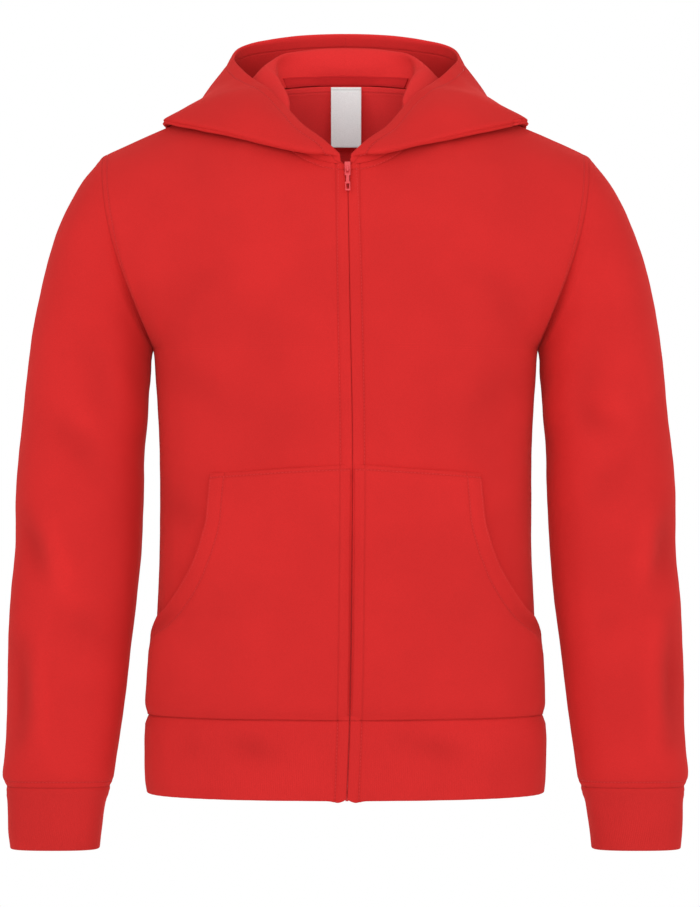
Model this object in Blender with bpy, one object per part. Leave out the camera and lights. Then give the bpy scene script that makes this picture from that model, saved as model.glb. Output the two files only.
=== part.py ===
"""A child's full-zip hooded sweatshirt, filled out as it is worn and open inside.

Metres, +Z up. The front faces -Y and the wearer's left is +X. The origin is the middle of the
neck, 7 mm above the inner ends of the shoulder seams.

The body, sleeves, cuffs and waistband are laid out as one skin whose patches meet along the
seams. The skin is then cut into its pieces, and each piece gets its own wall of cloth.
"""

from collections import namedtuple
from math import cos, exp, pi, radians, sin

import bmesh
import bpy
from mathutils import Matrix, Vector

MM = 0.001

# Cloth, in millimetres.
FLEECE = 2.0
RIB = 2.6
HOOD_CLOTH = 3.0  # two layers, lined with itself
POCKET_CLOTH = 2.0
TAPE_CLOTH = 1.0
SEAM_GAP = 0.3

# Heights of the seams, in millimetres.
NAPE = 5.5
NECK_FRONT = -67.0
ARMPIT = -213.0
POCKET_TOP = -306.0
POCKET_CORNER = -313.0
MOUTH_FOOT = -428.0
WAIST_SEAM = -507.0
HEM = -574.0

# Neck and shoulders, in millimetres.
NECK_HALF_WIDTH = 70.0
NECK_SIDE_Y = 10.0
NECK_SIDE_Z = -7.0
NECK_FRONT_Y = -62.0
NECK_BACK_Y = 62.0
SHOULDER_TIP = (196.5, 6.0, -57.0)
SHOULDER_BOW = 4.0  # how far the shoulder seam rises above a straight line
ARMHOLE_DEPTH = {-1: 52.0, 1: 56.0}  # in front of and behind its middle

# Zip, in millimetres.
ZIP_HALF_GAP = 1.6
CHAIN_HALF_WIDTH = 1.35
CHAIN_THICKNESS = 1.8
CHAIN_DEPTH = 1.4
CHAIN_STEPS = 24
CHAIN_FOOT = 8.5  # how far above the hem it starts
CHAIN_TUCK = 1.5  # how far it reaches up behind the slider
BOX_SPAN = (-1.6, 8.0)  # from below the hem to above it
BOX_DEPTH = 0.4
BOX_THICKNESS = 3.2
TAPE_WIDTH = 13.0
TAPE_SET = 0.7  # how far behind the fronts' cloth the tape lies
TAPE_SHORT = 2.5  # how far below the neck seam it ends
TAPE_FOOT_RISE = 2.0  # how far above the hem it starts
SLIDER_TOP = -66.2
SLIDER_REACH = 26.0  # how far down the cloth its slope is taken from
SLIDER_LIFT = 0.7  # the front plate off the cloth
SLIDER_PLATE = (4.8, 1.4, 11.8)  # width, depth and height
SLIDER_BACK = (6.0, 1.2, 8.5)
SLIDER_STEM = (2.2, 6.0)  # width and height
STEM_BITE = 0.8  # how far the stem reaches into each plate
CROWN_WIDTH = 1.6
CROWN_SPAN = (4.6, 9.6)  # how far below the slider's top it starts and ends
CROWN_BAR = 1.0
CROWN_RISE = 3.2
HINGE_DROP = 7.2
HINGE_RISE = 1.1
PULL_BAR = 1.0
PULL_WIDTH = 4.0
PULL_ARM = 0.8
PULL_EYE = 4.6  # from the hinge to the neck
PULL_NECK = (2.6, 7.2)  # width and length
PULL_LOOP = 7.0

FRONT, BACK = -1, 1
LEFT, RIGHT = 1, -1
SIDE_NAMES = {LEFT: "left", RIGHT: "right"}

# Faces across and along the patches.
FRONT_COLUMNS = 12
NECK_COLUMNS = 5
BODY_ROWS = 12
YOKE_ROWS = 10
BAND_ROWS = 3
SLEEVE_ROWS = 16
CUFF_ROWS = 3
HOOD_STEPS = 16
HOOD_SPANS = 2

# How square the body's cross-section is: 2 is an ellipse.
BODY_POWER = 2.3


class Table:
    """Rows of sizes in millimetres under named columns, read between rows by a smooth curve."""

    def __init__(self, columns, rows):
        """Keeps the columns' names and the rows, sorted by their first column."""
        self.columns = columns.split()
        self.rows = sorted(rows)
        self.places = [row[0] for row in self.rows]

    def slope(self, row, column):
        """The curve's slope at a row, flat where the values turn."""
        before, after = max(row - 1, 0), min(row + 1, len(self.rows) - 1)
        steps = []
        for low, high in ((before, row), (row, after)):
            if low != high:
                rise = self.rows[high][column] - self.rows[low][column]
                steps.append(rise / (self.places[high] - self.places[low]))
        if len(steps) == 1:
            return steps[0]
        if steps[0] * steps[1] <= 0:
            return 0.0
        return 2 * steps[0] * steps[1] / (steps[0] + steps[1])

    def at(self, place, name):
        """The named column's value at a place in the first column."""
        column = self.columns.index(name)
        place = min(max(place, self.places[0]), self.places[-1])
        low = max(index for index, start in enumerate(self.places[:-1]) if start <= place)
        span = self.places[low + 1] - self.places[low]
        t = (place - self.places[low]) / span
        start, end = self.rows[low][column], self.rows[low + 1][column]
        return (
            (1 + 2 * t) * (1 - t) ** 2 * start
            + t * t * (3 - 2 * t) * end
            + t * (1 - t) ** 2 * span * self.slope(low, column)
            - t * t * (1 - t) * span * self.slope(low + 1, column)
        )


# The trunk's half width, and its depth in front of and behind the side seams.
TRUNK = Table(
    "height half_width front back",
    [
        (-574, 160.5, 97, 94),
        (-560, 161.8, 99, 96),
        (-530, 162.3, 100, 97),
        (-514, 161.5, 99, 96),
        (-507, 158.6, 96.5, 93.5),
        (-497, 158.8, 99.5, 97),
        (-460, 156.0, 103, 99),
        (-425, 152.6, 104, 100),
        (-350, 150.0, 106, 102),
        (-300, 150.2, 107, 103),
        (-255, 152.2, 106, 104),
        (-213, 155.5, 104, 103),
        (-170, 155.5, 97, 103),
        (-130, 155.5, 86, 101),
        (-95, 155.5, 73, 97),
        (-67, 155.5, 62, 90),
        (-30, 155.5, 48, 78),
        (5.5, 155.5, 34, 62),
    ],
)

# How far the zip's line wanders from the middle.
ZIP_LINE = Table(
    "height offset",
    [(-574, 1.0), (-507, 3.4), (-400, 5.0), (-300, 5.6), (-180, 3.6), (-67, 1.6)],
)

# A sleeve and its cuff: the outer and inner line, the middle's y and the half depth. The first
# row is the armhole.
SLEEVE = Table(
    "along outer_x outer_z inner_x inner_z y depth",
    [
        (0, 196.5, -57, 155.5, -213, 3, 54),
        (22, 212.5, -77, 156.6, -223, 3, 55.5),
        (52, 230, -110, 157.2, -237, 2, 57),
        (90, 243.5, -153, 158.8, -258, 0, 57.5),
        (140, 254, -206, 160.8, -290, -2, 56),
        (195, 260.5, -268, 163, -330, -5, 53.5),
        (250, 266.5, -330, 165, -372, -8, 50.5),
        (305, 269.5, -392, 168.6, -416, -11, 47),
        (350, 271.5, -440, 173.3, -454, -13, 43.5),
        (400, 273, -492, 178.6, -497, -14, 40),
        (448, 275.3, -541, 185, -542, -14, 37),
        (464, 276.2, -558, 187.6, -558, -14, 35.5),
        (476, 273.2, -570, 190.5, -570, -14, 31.5),
        (488, 271.8, -582, 194.3, -582, -14, 30),
        (505, 271.6, -600, 196.4, -600, -14, 29),
        (521, 270.2, -616, 198.4, -616, -14, 27.5),
    ],
)
CUFF_SEAM = 476.0
CUFF_END = 521.0
ARMHOLE_FADE = 120.0  # how far down the sleeve the armhole's curve still shows

# Soft troughs across a sleeve: where along it, which way round (0 is outside, 90 is front), how
# long and wide each is, and how deep.
SLEEVE_FOLDS = (
    # along, turn, half_length, half_width, depth
    (70.0, 150.0, 26.0, 34.0, 4.0),
    (150.0, 165.0, 30.0, 30.0, 3.0),
    (292.0, 48.0, 26.0, 42.0, 3.5),
    (330.0, 62.0, 20.0, 30.0, 2.0),
    (425.0, 28.0, 30.0, 26.0, 2.5),
    (100.0, 235.0, 30.0, 40.0, 3.5),
    (290.0, 310.0, 28.0, 46.0, 3.5),
    (400.0, 280.0, 26.0, 30.0, 2.0),
)

# Where the pocket's mouth runs, as the distance from the middle at each height.
POCKET_MOUTH = Table(
    "height across",
    [
        (-428, 149.0),
        (-417, 137.5),
        (-400, 124.5),
        (-385, 115.5),
        (-368, 109.0),
        (-345, 104.8),
        (-325, 105.0),
        (-306, 106.5),
    ],
)
POCKET_LIFT = 0.8
POCKET_ROOM = 7.0  # how much further the pocket stands off inside and at its mouth
POCKET_BELLY = 0.85  # of that, away from the mouth
MOUTH_BLEND = 14.0  # how far below its foot the mouth's line turns into the side seam
SIDE_TURN = 0.985  # how far round the pocket's lower side edge lies

# The hood, let down behind the neck, in sections from the front middle (turn 0) past the
# shoulder seam (1) to the nape (2). The cloth stands up from the neck seam, rolls over, runs
# down inside the bag to its fold, and comes up the outside to the rim.
Section = namedtuple("Section", "turn stand roll inner fold thickness outer rim")
HOOD_SECTIONS = (
    Section(0.02, (3.9, -62.4, -64.6), (4.0, -62.6, -63.2), (4.2, -62.8, -62.0),
            (4.4, -62.9, -61.0), 0.8, (4.7, -62.6, -59.8), (5.0, -62.2, -58.8)),
    Section(0.13, (14.8, -61.4, -62.2), (14.2, -61.8, -59.4), (14.8, -63.2, -58.2),
            (15.6, -64.8, -59.2), 2.3, (13.0, -64.4, -55.8), (10.8, -62.4, -53.4)),
    Section(0.25, (25.4, -58.4, -58.4), (25.0, -60.2, -56.2), (26.8, -63.4, -56.6),
            (29.5, -66.6, -58.6), 4.2, (25.0, -64.8, -50.4), (19.5, -57.5, -46.0)),
    Section(0.42, (41.4, -47.4, -47.2), (39.6, -49.0, -44.4), (46.5, -56.0, -47.6),
            (56.0, -66.5, -54.0), 6.5, (45.5, -59.0, -40.6), (33.5, -46.0, -35.5)),
    Section(0.64, (52.0, -28.6, -29.0), (46.0, -29.0, -26.0), (64.0, -35.0, -26.5),
            (94.0, -57.0, -46.0), 7.0, (70.0, -43.0, -20.5), (47.5, -27.5, -19.0)),
    Section(0.84, (55.0, -9.5, -14.0), (47.5, -12.0, -10.5), (78.0, -17.0, -12.5),
            (124.0, -36.0, -39.5), 7.5, (88.0, -22.0, -8.0), (60.0, -13.0, -5.5)),
    Section(1.06, (56.0, 11.0, 0.0), (58.5, 14.0, 9.5), (84.0, 6.0, -6.6),
            (138.2, -2.0, -26.2), 4.0, (102.5, 3.0, -5.0), (71.5, 6.5, 3.5)),
    Section(1.28, (56.5, 24.0, 11.0), (66.0, 29.0, 17.0), (84.0, 30.0, 2.0),
            (138.0, 34.0, -36.5), 6.0, (110.5, 34.0, -3.5), (83.5, 27.0, 15.0)),
    Section(1.50, (56.0, 44.0, 18.0), (54.0, 49.0, 28.0), (82.0, 70.0, -16.0),
            (127.0, 80.0, -76.0), 11.0, (115.0, 78.0, -3.0), (92.0, 55.0, 28.0)),
    Section(1.74, (40.0, 56.0, 20.0), (38.0, 63.0, 34.0), (54.0, 84.0, -26.0),
            (84.0, 101.0, -106.0), 13.0, (95.0, 119.0, -20.0), (83.5, 79.0, 40.2)),
    Section(1.88, (22.0, 58.0, 22.0), (20.0, 70.0, 36.5), (30.0, 92.6, -62.0),
            (46.0, 104.0, -119.0), 15.0, (52.0, 133.0, -36.0), (47.0, 88.5, 48.4)),
    Section(2.00, (0.0, 59.5, 23.0), (0.0, 73.0, 37.5), (0.0, 94.0, -66.0),
            (0.0, 105.0, -126.0), 15.0, (0.0, 136.0, -40.0), (0.0, 90.8, 51.0)),
)
HOOD_LIFT = 1.3  # the neck seam's hood edge stands this far above the body's
HOOD_END_LIFT = 0.3  # the same at the front ends
HOOD_END_SHARE = 0.45  # of the cloth's thickness, at the front ends
HOOD_END_REACH = 40.0

# The neck tape's foot, as a share of the way from the neck seam to the rim, and how many of the
# hood's sections it reaches round on each side. The label, in millimetres.
TAPE_FOOT = 0.008
TAPE_SECTIONS = 3
LABEL_WIDTH = 25.0
LABEL_HEIGHT = 50.0
LABEL_MIDDLE = 0.4
LABEL_LEAN = 0.05
LABEL_SET = 4.0  # how far in front of the hood's cloth it hangs
LABEL_DROP = 2.6  # from the neck seam

MATERIALS = {
    # name: (base colour, roughness, metallic)
    "fleece": ((0.68, 0.028, 0.026), 0.9, 0.0),
    "lining": ((0.48, 0.025, 0.026), 0.95, 0.0),
    "rib": ((0.62, 0.026, 0.024), 0.9, 0.0),
    "zip_tape": ((0.50, 0.02, 0.02), 0.8, 0.0),
    "zip_coil": ((0.45, 0.02, 0.02), 0.45, 0.0),
    "zip_enamel": ((0.75, 0.06, 0.06), 0.3, 0.0),
    "label": ((0.85, 0.85, 0.84), 0.7, 0.0),
}


def clear_scene():
    """Removes what the scene starts with."""
    for thing in list(bpy.data.objects):
        bpy.data.objects.remove(thing)


def material(name):
    """The named finish, made once."""
    if name in bpy.data.materials:
        return bpy.data.materials[name]
    colour, roughness, metallic = MATERIALS[name]
    finish = bpy.data.materials.new(name)
    finish.use_nodes = True
    shader = finish.node_tree.nodes["Principled BSDF"]
    shader.inputs["Base Color"].default_value = (*colour, 1.0)
    shader.inputs["Roughness"].default_value = roughness
    shader.inputs["Metallic"].default_value = metallic
    return finish


def add_object(name, mesh_maker, finish, parent, crease=40.0):
    """Makes an object of a bmesh, shaded smooth except at sharp edges, under the parent."""
    mesh = bpy.data.meshes.new(name)
    mesh_maker.to_mesh(mesh)
    mesh_maker.free()
    mesh.materials.append(material(finish))
    mesh.shade_smooth()
    mesh.set_sharp_from_angle(angle=radians(crease))
    thing = bpy.data.objects.new(name, mesh)
    thing.parent = parent
    bpy.context.scene.collection.objects.link(thing)
    return thing


def mix(start, end, share):
    """The point a share of the way from start to end."""
    return start + (end - start) * share


# ---------------------------------------------------------------- the body's form


def zip_x(height):
    """The zip line's x at a height."""
    return ZIP_LINE.at(height, "offset")


def trunk_point(side, face, turn, height, lift=0.0):
    """A point round the trunk: turn is 0 at the middle of the face and 1 at the side seam."""
    swell = 2 / BODY_POWER
    across = sin(turn * pi / 2) ** swell
    inward = max(cos(turn * pi / 2), 0.0) ** swell
    middle = zip_x(height) + side * ZIP_HALF_GAP if face == FRONT else 0.0
    half_width = TRUNK.at(height, "half_width") + lift
    depth = TRUNK.at(height, "front" if face == FRONT else "back") + lift
    return Vector((mix(middle, side * half_width, across), face * depth * inward, height))


def trunk_turn(side, height, across):
    """The turn at which the front reaches a distance from the middle."""
    low, high = 0.0, 1.0
    for _ in range(30):
        turn = (low + high) / 2
        if side * trunk_point(side, FRONT, turn, height).x < across:
            low = turn
        else:
            high = turn
    return low


def neck_point(side, turn):
    """The neck seam: turn is 0 at the front middle, 1 at the shoulder seam and 2 at the nape."""
    angle = turn * pi / 2
    if turn <= 1:
        middle = zip_x(NECK_FRONT) + side * ZIP_HALF_GAP
        depth = NECK_FRONT_Y - NECK_SIDE_Y
        share = cos(angle) if turn < 1 else 0.0
        height = mix(NECK_SIDE_Z, NECK_FRONT, share**1.3)
    else:
        middle = 0.0
        depth = NECK_BACK_Y - NECK_SIDE_Y
        share = -cos(angle)
        height = mix(NECK_SIDE_Z, NAPE, share)
    across = sin(angle) if turn < 2 else 0.0
    return Vector((mix(middle, side * NECK_HALF_WIDTH, across), NECK_SIDE_Y + depth * share, height))


def armhole_point(side, face, share):
    """The armhole seam, from the armpit (share 0) to the shoulder tip (1)."""
    tip_x, tip_y, tip_z = SHOULDER_TIP
    pit_x = TRUNK.at(ARMPIT, "half_width")
    rise = (1 - cos(pi * share)) / 2
    bow = sin(rise * pi / 2)
    return Vector(
        (
            side * mix(pit_x, tip_x, bow),
            tip_y * share + face * ARMHOLE_DEPTH[face] * sin(pi * share),
            mix(ARMPIT, tip_z, rise),
        )
    )


def yoke_top(side, face, column):
    """The top edge of a front or back: the neckline, then the shoulder seam."""
    if column <= NECK_COLUMNS:
        share = column / NECK_COLUMNS
        return neck_point(side, share if face == FRONT else 2 - share)
    share = (column - NECK_COLUMNS) / (FRONT_COLUMNS - NECK_COLUMNS)
    spot = mix(neck_point(side, 1), Vector((side * SHOULDER_TIP[0], *SHOULDER_TIP[1:])), share)
    spot.z += SHOULDER_BOW * sin(pi * share)
    return spot


def yoke_point(side, face, across, up):
    """A point of a front or back above the armpit, from the trunk's form to its top edge."""
    top_height = NECK_FRONT if face == FRONT else NAPE
    base = trunk_point(side, face, across, mix(ARMPIT, top_height, up))
    edge = armhole_point(side, face, up) - trunk_point(side, face, 1, mix(ARMPIT, top_height, up))
    corner = armhole_point(side, face, 1) - trunk_point(side, face, 1, top_height)
    top = yoke_top(side, face, across * FRONT_COLUMNS) - trunk_point(side, face, across, top_height)
    pull = across**2
    rest = top - corner * pull
    risen = Vector((rest.x * up**2.5, rest.y * up**5, rest.z * up**2.2))
    return base + edge * pull + risen


def fold_depth(folds, along, turn):
    """How deep a sleeve's troughs are at a place: turn is in degrees round it."""
    depth = 0.0
    for middle, heading, half_length, half_width, deepest in folds:
        off = (turn - heading + 180) % 360 - 180
        reach = ((along - middle) / half_length) ** 2 + (off / half_width) ** 2
        depth += deepest * exp(-reach)
    return depth


def sleeve_point(side, face, along, turn):
    """A point of a sleeve: turn is 0 along its outer line and 1 under the arm."""
    outer = Vector((SLEEVE.at(along, "outer_x"), 0, SLEEVE.at(along, "outer_z")))
    inner = Vector((SLEEVE.at(along, "inner_x"), 0, SLEEVE.at(along, "inner_z")))
    middle = (outer + inner) / 2
    arm = (outer - inner) / 2
    angle = pi * turn
    fade = max(1 - along / ARMHOLE_FADE, 0.0) ** 2
    seam = armhole_point(1, face, 1 - turn)
    first = Vector(SHOULDER_TIP) - Vector((TRUNK.at(ARMPIT, "half_width"), 0, ARMPIT))
    chord = TRUNK.at(ARMPIT, "half_width") + first.x * (1 + cos(angle)) / 2
    shrink = 1 - fold_depth(SLEEVE_FOLDS, along, face * -90 * 2 * turn % 360) / arm.length
    shrink = mix(1.0, shrink, min(along / 30.0, 1.0) * min(max(CUFF_SEAM - along, 0.0) / 20.0, 1.0))
    spot = middle + arm * cos(angle) * shrink
    depth = SLEEVE.at(along, "depth") * sin(angle) * shrink
    spot.y = SLEEVE.at(along, "y") + face * depth
    spot.x += (seam.x - chord) * fade
    spot.y = mix(spot.y, seam.y, fade)
    spot.x *= side
    return spot


# ---------------------------------------------------------------- the skin and its pieces


def add_patch(skin, piece, columns, rows, place):
    """Adds a grid of faces for one piece, with each corner where place(column, row) puts it."""
    layer = skin.faces.layers.int["piece"]
    grid = bmesh.ops.create_grid(skin, x_segments=columns, y_segments=rows, size=0.5)
    for vert in grid["verts"]:
        column, row = (vert.co.x + 0.5) * columns, (vert.co.y + 0.5) * rows
        vert.co = place(round(column), round(row)) * MM
    for face in {face for vert in grid["verts"] for face in vert.link_faces}:
        face[layer] = piece


def new_skin():
    """An empty skin whose faces know their piece."""
    skin = bmesh.new()
    skin.faces.layers.int.new("piece")
    return skin


def close_skin(skin, outward):
    """Joins the patches along their seams and turns every face to the outer side."""
    bmesh.ops.remove_doubles(skin, verts=skin.verts, dist=0.01 * MM)
    bmesh.ops.recalc_face_normals(skin, faces=skin.faces)
    face = max(skin.faces, key=lambda face: face.calc_center_median().dot(outward))
    if face.normal.dot(outward) < 0:
        bmesh.ops.reverse_faces(skin, faces=skin.faces)
    skin.normal_update()


def edge_shift(vert, own):
    """The move that sets a piece's edge back from its seam, into the piece."""
    ways = []
    for edge in vert.link_edges:
        faces = [face for face in edge.link_faces if face in own]
        if len(faces) != 1:
            continue
        loop = next(loop for loop in faces[0].loops if loop.edge == edge)
        run = loop.link_loop_next.vert.co - loop.vert.co
        ways.append(faces[0].normal.cross(run).normalized())
    if not ways:
        return Vector()
    total = sum(ways, Vector())
    spread = max(1 + ways[0].dot(ways[-1]), 0.5) if len(ways) > 1 else 1.0
    return total / spread * (SEAM_GAP * MM / 2)


def wall_of(skin, piece, outward, inward, share=None):
    """A closed wall of cloth over one piece of the skin, that far above and below it.

    Where a share is given, it says how much of that thickness the wall has at a spot.
    """
    layer = skin.faces.layers.int["piece"]
    own = dict.fromkeys(face for face in skin.faces if face[layer] == piece)
    wall = bmesh.new()
    upper, lower = {}, {}
    for face in own:
        for vert in face.verts:
            if vert not in upper:
                spot = vert.co + edge_shift(vert, own)
                cloth = vert.normal * MM * (share(vert.co / MM) if share else 1.0)
                upper[vert] = wall.verts.new(spot + cloth * outward)
                lower[vert] = wall.verts.new(spot - cloth * inward)
    for face in own:
        wall.faces.new([upper[vert] for vert in face.verts])
        wall.faces.new([lower[vert] for vert in reversed(face.verts)])
        for loop in face.loops:
            if sum(other in own for other in loop.edge.link_faces) == 1:
                start, end = loop.vert, loop.link_loop_next.vert
                rim = [upper[end], upper[start], lower[start], lower[end]]
                if start.index < end.index:
                    rim = rim[1:] + rim[:1]
                # Both pieces at a seam split their rims along the same diagonal.
                wall.faces.new((rim[0], rim[1], rim[2]))
                wall.faces.new((rim[0], rim[2], rim[3]))
    wall.normal_update()
    return wall


def add_body_panels(skin, pieces):
    """Lays out the fronts and the back, from the waist seam to the neck and shoulders."""
    for side in (LEFT, RIGHT):
        for face in (FRONT, BACK):
            piece = pieces["back"] if face == BACK else pieces["front_" + SIDE_NAMES[side]]

            def trunk(column, row, side=side, face=face):
                height = mix(WAIST_SEAM, ARMPIT, row / BODY_ROWS)
                return trunk_point(side, face, column / FRONT_COLUMNS, height)

            def yoke(column, row, side=side, face=face):
                return yoke_point(side, face, column / FRONT_COLUMNS, row / YOKE_ROWS)

            add_patch(skin, piece, FRONT_COLUMNS, BODY_ROWS, trunk)
            add_patch(skin, piece, FRONT_COLUMNS, YOKE_ROWS, yoke)


def add_waistband(skin, pieces):
    """Lays out the waistband from one side of the zip round to the other."""
    for side in (LEFT, RIGHT):
        for face in (FRONT, BACK):

            def band(column, row, side=side, face=face):
                height = mix(HEM, WAIST_SEAM, row / BAND_ROWS)
                return trunk_point(side, face, column / FRONT_COLUMNS, height)

            add_patch(skin, pieces["waistband"], FRONT_COLUMNS, BAND_ROWS, band)


def add_sleeves(skin, pieces):
    """Lays out the sleeves and their cuffs."""
    for side in (LEFT, RIGHT):
        for face in (FRONT, BACK):

            def sleeve(column, row, side=side, face=face):
                along = CUFF_SEAM * (row / SLEEVE_ROWS)
                return sleeve_point(side, face, along, 1 - column / YOKE_ROWS)

            def cuff(column, row, side=side, face=face):
                along = mix(CUFF_SEAM, CUFF_END, row / CUFF_ROWS)
                return sleeve_point(side, face, along, 1 - column / YOKE_ROWS)

            name = SIDE_NAMES[side]
            add_patch(skin, pieces["sleeve_" + name], YOKE_ROWS, SLEEVE_ROWS, sleeve)
            add_patch(skin, pieces["cuff_" + name], YOKE_ROWS, CUFF_ROWS, cuff)


def build_garment(parent):
    """Cuts the body's skin into its pieces and gives each its wall."""
    walls = {
        "front_left": (FLEECE, "fleece"),
        "front_right": (FLEECE, "fleece"),
        "back": (FLEECE, "fleece"),
        "sleeve_left": (FLEECE, "fleece"),
        "sleeve_right": (FLEECE, "fleece"),
        "cuff_left": (RIB, "rib"),
        "cuff_right": (RIB, "rib"),
        "waistband": (RIB, "rib"),
    }
    pieces = {name: number for number, name in enumerate(walls, 1)}
    skin = new_skin()
    add_body_panels(skin, pieces)
    add_waistband(skin, pieces)
    add_sleeves(skin, pieces)
    close_skin(skin, Vector((0, -1, 0)))
    for name, (thickness, finish) in walls.items():
        add_object(name, wall_of(skin, pieces[name], 0.0, thickness), finish, parent)
    skin.free()


# ---------------------------------------------------------------- hood


def hood_lines(side, section):
    """The points that a section of the hood runs through, from the neck seam to the rim."""
    lift = mix(HOOD_END_LIFT, HOOD_LIFT, min(section.turn * 2, 1.0))
    seam = neck_point(side, section.turn) + Vector((0, 0, lift))
    stand, roll, inner, fold, outer, rim = (
        Vector((side * x, y, z))
        for x, y, z in (
            section.stand, section.roll, section.inner, section.fold, section.outer, section.rim
        )
    )
    away = (fold - inner).normalized()
    across = (outer - fold) - away * (outer - fold).dot(away)
    across.normalize()
    turned = fold + away * section.thickness * 0.45 + across * section.thickness * 0.5
    high = fold + across * section.thickness
    return [seam, stand, roll, inner, fold, turned, high, outer, rim]


def through(points, place):
    """The smooth curve through the points, read at a place counted in points."""
    start = min(int(place), len(points) - 2)
    t = place - start
    before, after = points[max(start - 1, 0)], points[min(start + 2, len(points) - 1)]
    here, there = points[start], points[start + 1]
    return (
        here * (1 + 2 * t) * (1 - t) ** 2
        + there * t * t * (3 - 2 * t)
        + (there - before) * 0.5 * t * (1 - t) ** 2
        - (after - here) * 0.5 * t * t * (1 - t)
    )


def hood_point(side, place, across):
    """A point of the hood: place counts sections from the front, across runs from seam to rim."""
    lines = [hood_lines(side, section) for section in HOOD_SECTIONS]
    lines.append(hood_lines(-side, HOOD_SECTIONS[-2]))
    section = [through(line, place) for line in zip(*lines)]
    return through(section, across * (len(section) - 1))


def build_hood(parent):
    """The hood's two halves, which meet along the middle of the back."""
    pieces = {"hood_left": 1, "hood_right": 2}
    skin = new_skin()
    rows = (len(HOOD_SECTIONS) - 1) * HOOD_SPANS
    for side in (LEFT, RIGHT):

        def hood(column, row, side=side):
            return hood_point(side, row / HOOD_SPANS, column / HOOD_STEPS)

        add_patch(skin, pieces["hood_" + SIDE_NAMES[side]], HOOD_STEPS, rows, hood)
    close_skin(skin, Vector((0, 1, 0)))

    def share(spot):
        """The hood's front ends are sewn flat, so the cloth thins towards them."""
        return mix(HOOD_END_SHARE, 1.0, min(max(abs(spot.x) / HOOD_END_REACH, 0.0), 1.0))

    for name, piece in pieces.items():
        wall = wall_of(skin, piece, HOOD_CLOTH / 2, HOOD_CLOTH / 2, share)
        add_object(name, wall, "fleece", parent)
    skin.free()


def build_neck_tape(parent):
    """The tape over the neck seam inside, round the back of the neck."""
    skin = new_skin()
    half, rows = TAPE_SECTIONS * HOOD_SPANS, 2
    last = len(HOOD_SECTIONS) - 1

    def tape(column, row):
        side = LEFT if column > half else RIGHT
        place = last - abs(column - half) / HOOD_SPANS
        up = mix(TAPE_FOOT, 1 / HOOD_STEPS, row / rows)
        spot = hood_point(side, place, up)
        rise = hood_point(side, place, up + 0.01) - spot
        round_neck = hood_point(side, place - 0.05, up) - spot
        inward = rise.cross(round_neck).normalized()
        if inward.dot(spot - Vector((0, NECK_SIDE_Y, spot.z))) > 0:
            inward.negate()
        return spot + inward * (HOOD_CLOTH / 2 + SEAM_GAP + 0.3)

    add_patch(skin, 1, 2 * half, rows, tape)
    close_skin(skin, Vector((0, 1, 0)))
    add_object("neck_tape", wall_of(skin, 1, 0.0, TAPE_CLOTH), "lining", parent)
    skin.free()


def build_label(parent):
    """The bare woven label that hangs from the neck tape."""
    skin = new_skin()
    top = hood_point(LEFT, len(HOOD_SECTIONS) - 1, TAPE_FOOT)
    face = top.y - LABEL_SET

    def label(column, row):
        drop = LABEL_HEIGHT * (1 - row / 6)
        x = LABEL_MIDDLE + LABEL_WIDTH * (column / 3 - 0.5)
        return Vector((x, face - drop * LABEL_LEAN, top.z - LABEL_DROP - drop))

    add_patch(skin, 1, 3, 6, label)
    close_skin(skin, Vector((0, 1, 0)))
    add_object("label", wall_of(skin, 1, 0.0, TAPE_CLOTH), "label", parent)
    skin.free()


# ---------------------------------------------------------------- pockets


def pocket_room(across, up, height):
    """How much the pocket stands off at a place: 0 along its seams and 1 at the mouth."""
    belly = POCKET_BELLY * (sin(pi * across) * sin(pi * up)) ** 0.7
    share = min(max((height - MOUTH_FOOT) / (POCKET_CORNER - MOUTH_FOOT), 0.0), 1.0)
    mouth = sin(pi * share) * across**2 * (3 - 2 * across)
    return 1 - (1 - belly) * (1 - mouth)


def pocket_point(side, across, up):
    """A point of a pocket: across runs from the zip to the mouth or the side seam."""
    corner = mix(POCKET_TOP, POCKET_CORNER, across)
    height = mix(WAIST_SEAM + SEAM_GAP, corner, up)
    edge = trunk_turn(side, height, POCKET_MOUTH.at(height, "across"))
    if height < MOUTH_FOOT:
        edge = mix(SIDE_TURN, edge, max(0.0, 1 - (MOUTH_FOOT - height) / MOUTH_BLEND))
    lift = POCKET_LIFT + POCKET_CLOTH + POCKET_ROOM * pocket_room(across, up, height)
    return trunk_point(side, FRONT, edge * across, height, lift)


def build_pockets(parent):
    """The two halves of the front pocket, each laid on its front."""
    columns, rows = 14, 16
    for side in (LEFT, RIGHT):
        skin = new_skin()
        name = "pocket_" + SIDE_NAMES[side]

        def pocket(column, row, side=side):
            return pocket_point(side, column / columns, row / rows)

        add_patch(skin, 1, columns, rows, pocket)
        close_skin(skin, Vector((0, -1, 0)))
        add_object(name, wall_of(skin, 1, 0.0, POCKET_CLOTH), "fleece", parent)
        skin.free()


# ---------------------------------------------------------------- zip


def zip_spot(height, depth, across=0.0):
    """A point on the zip's line, that deep behind the fronts' outer face."""
    front = trunk_point(LEFT, FRONT, 0.0, height)
    ahead = trunk_point(LEFT, FRONT, 0.0, height + 1.0) - front
    outward = Vector((0, -ahead.z, ahead.y)).normalized()
    return Vector((zip_x(height) + across, front.y, height)) - outward * depth


def front_point(side, turn, height):
    """A point of a front's outer face, by its turn and the height of its row."""
    if height <= ARMPIT:
        return trunk_point(side, FRONT, turn, height)
    return yoke_point(side, FRONT, turn, (height - ARMPIT) / (NECK_FRONT - ARMPIT))


def front_spot(side, across, height, depth):
    """A point that deep behind a front's outer face, that far to its side of the middle."""
    turn = trunk_turn(side, height, across)
    spot = front_point(side, turn, height)
    down = front_point(side, turn, height - 1.0) - spot
    inward = down.cross(front_point(side, turn + 0.01, height) - spot).normalized()
    if inward.y < 0:
        inward.negate()
    return spot + inward * depth


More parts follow.
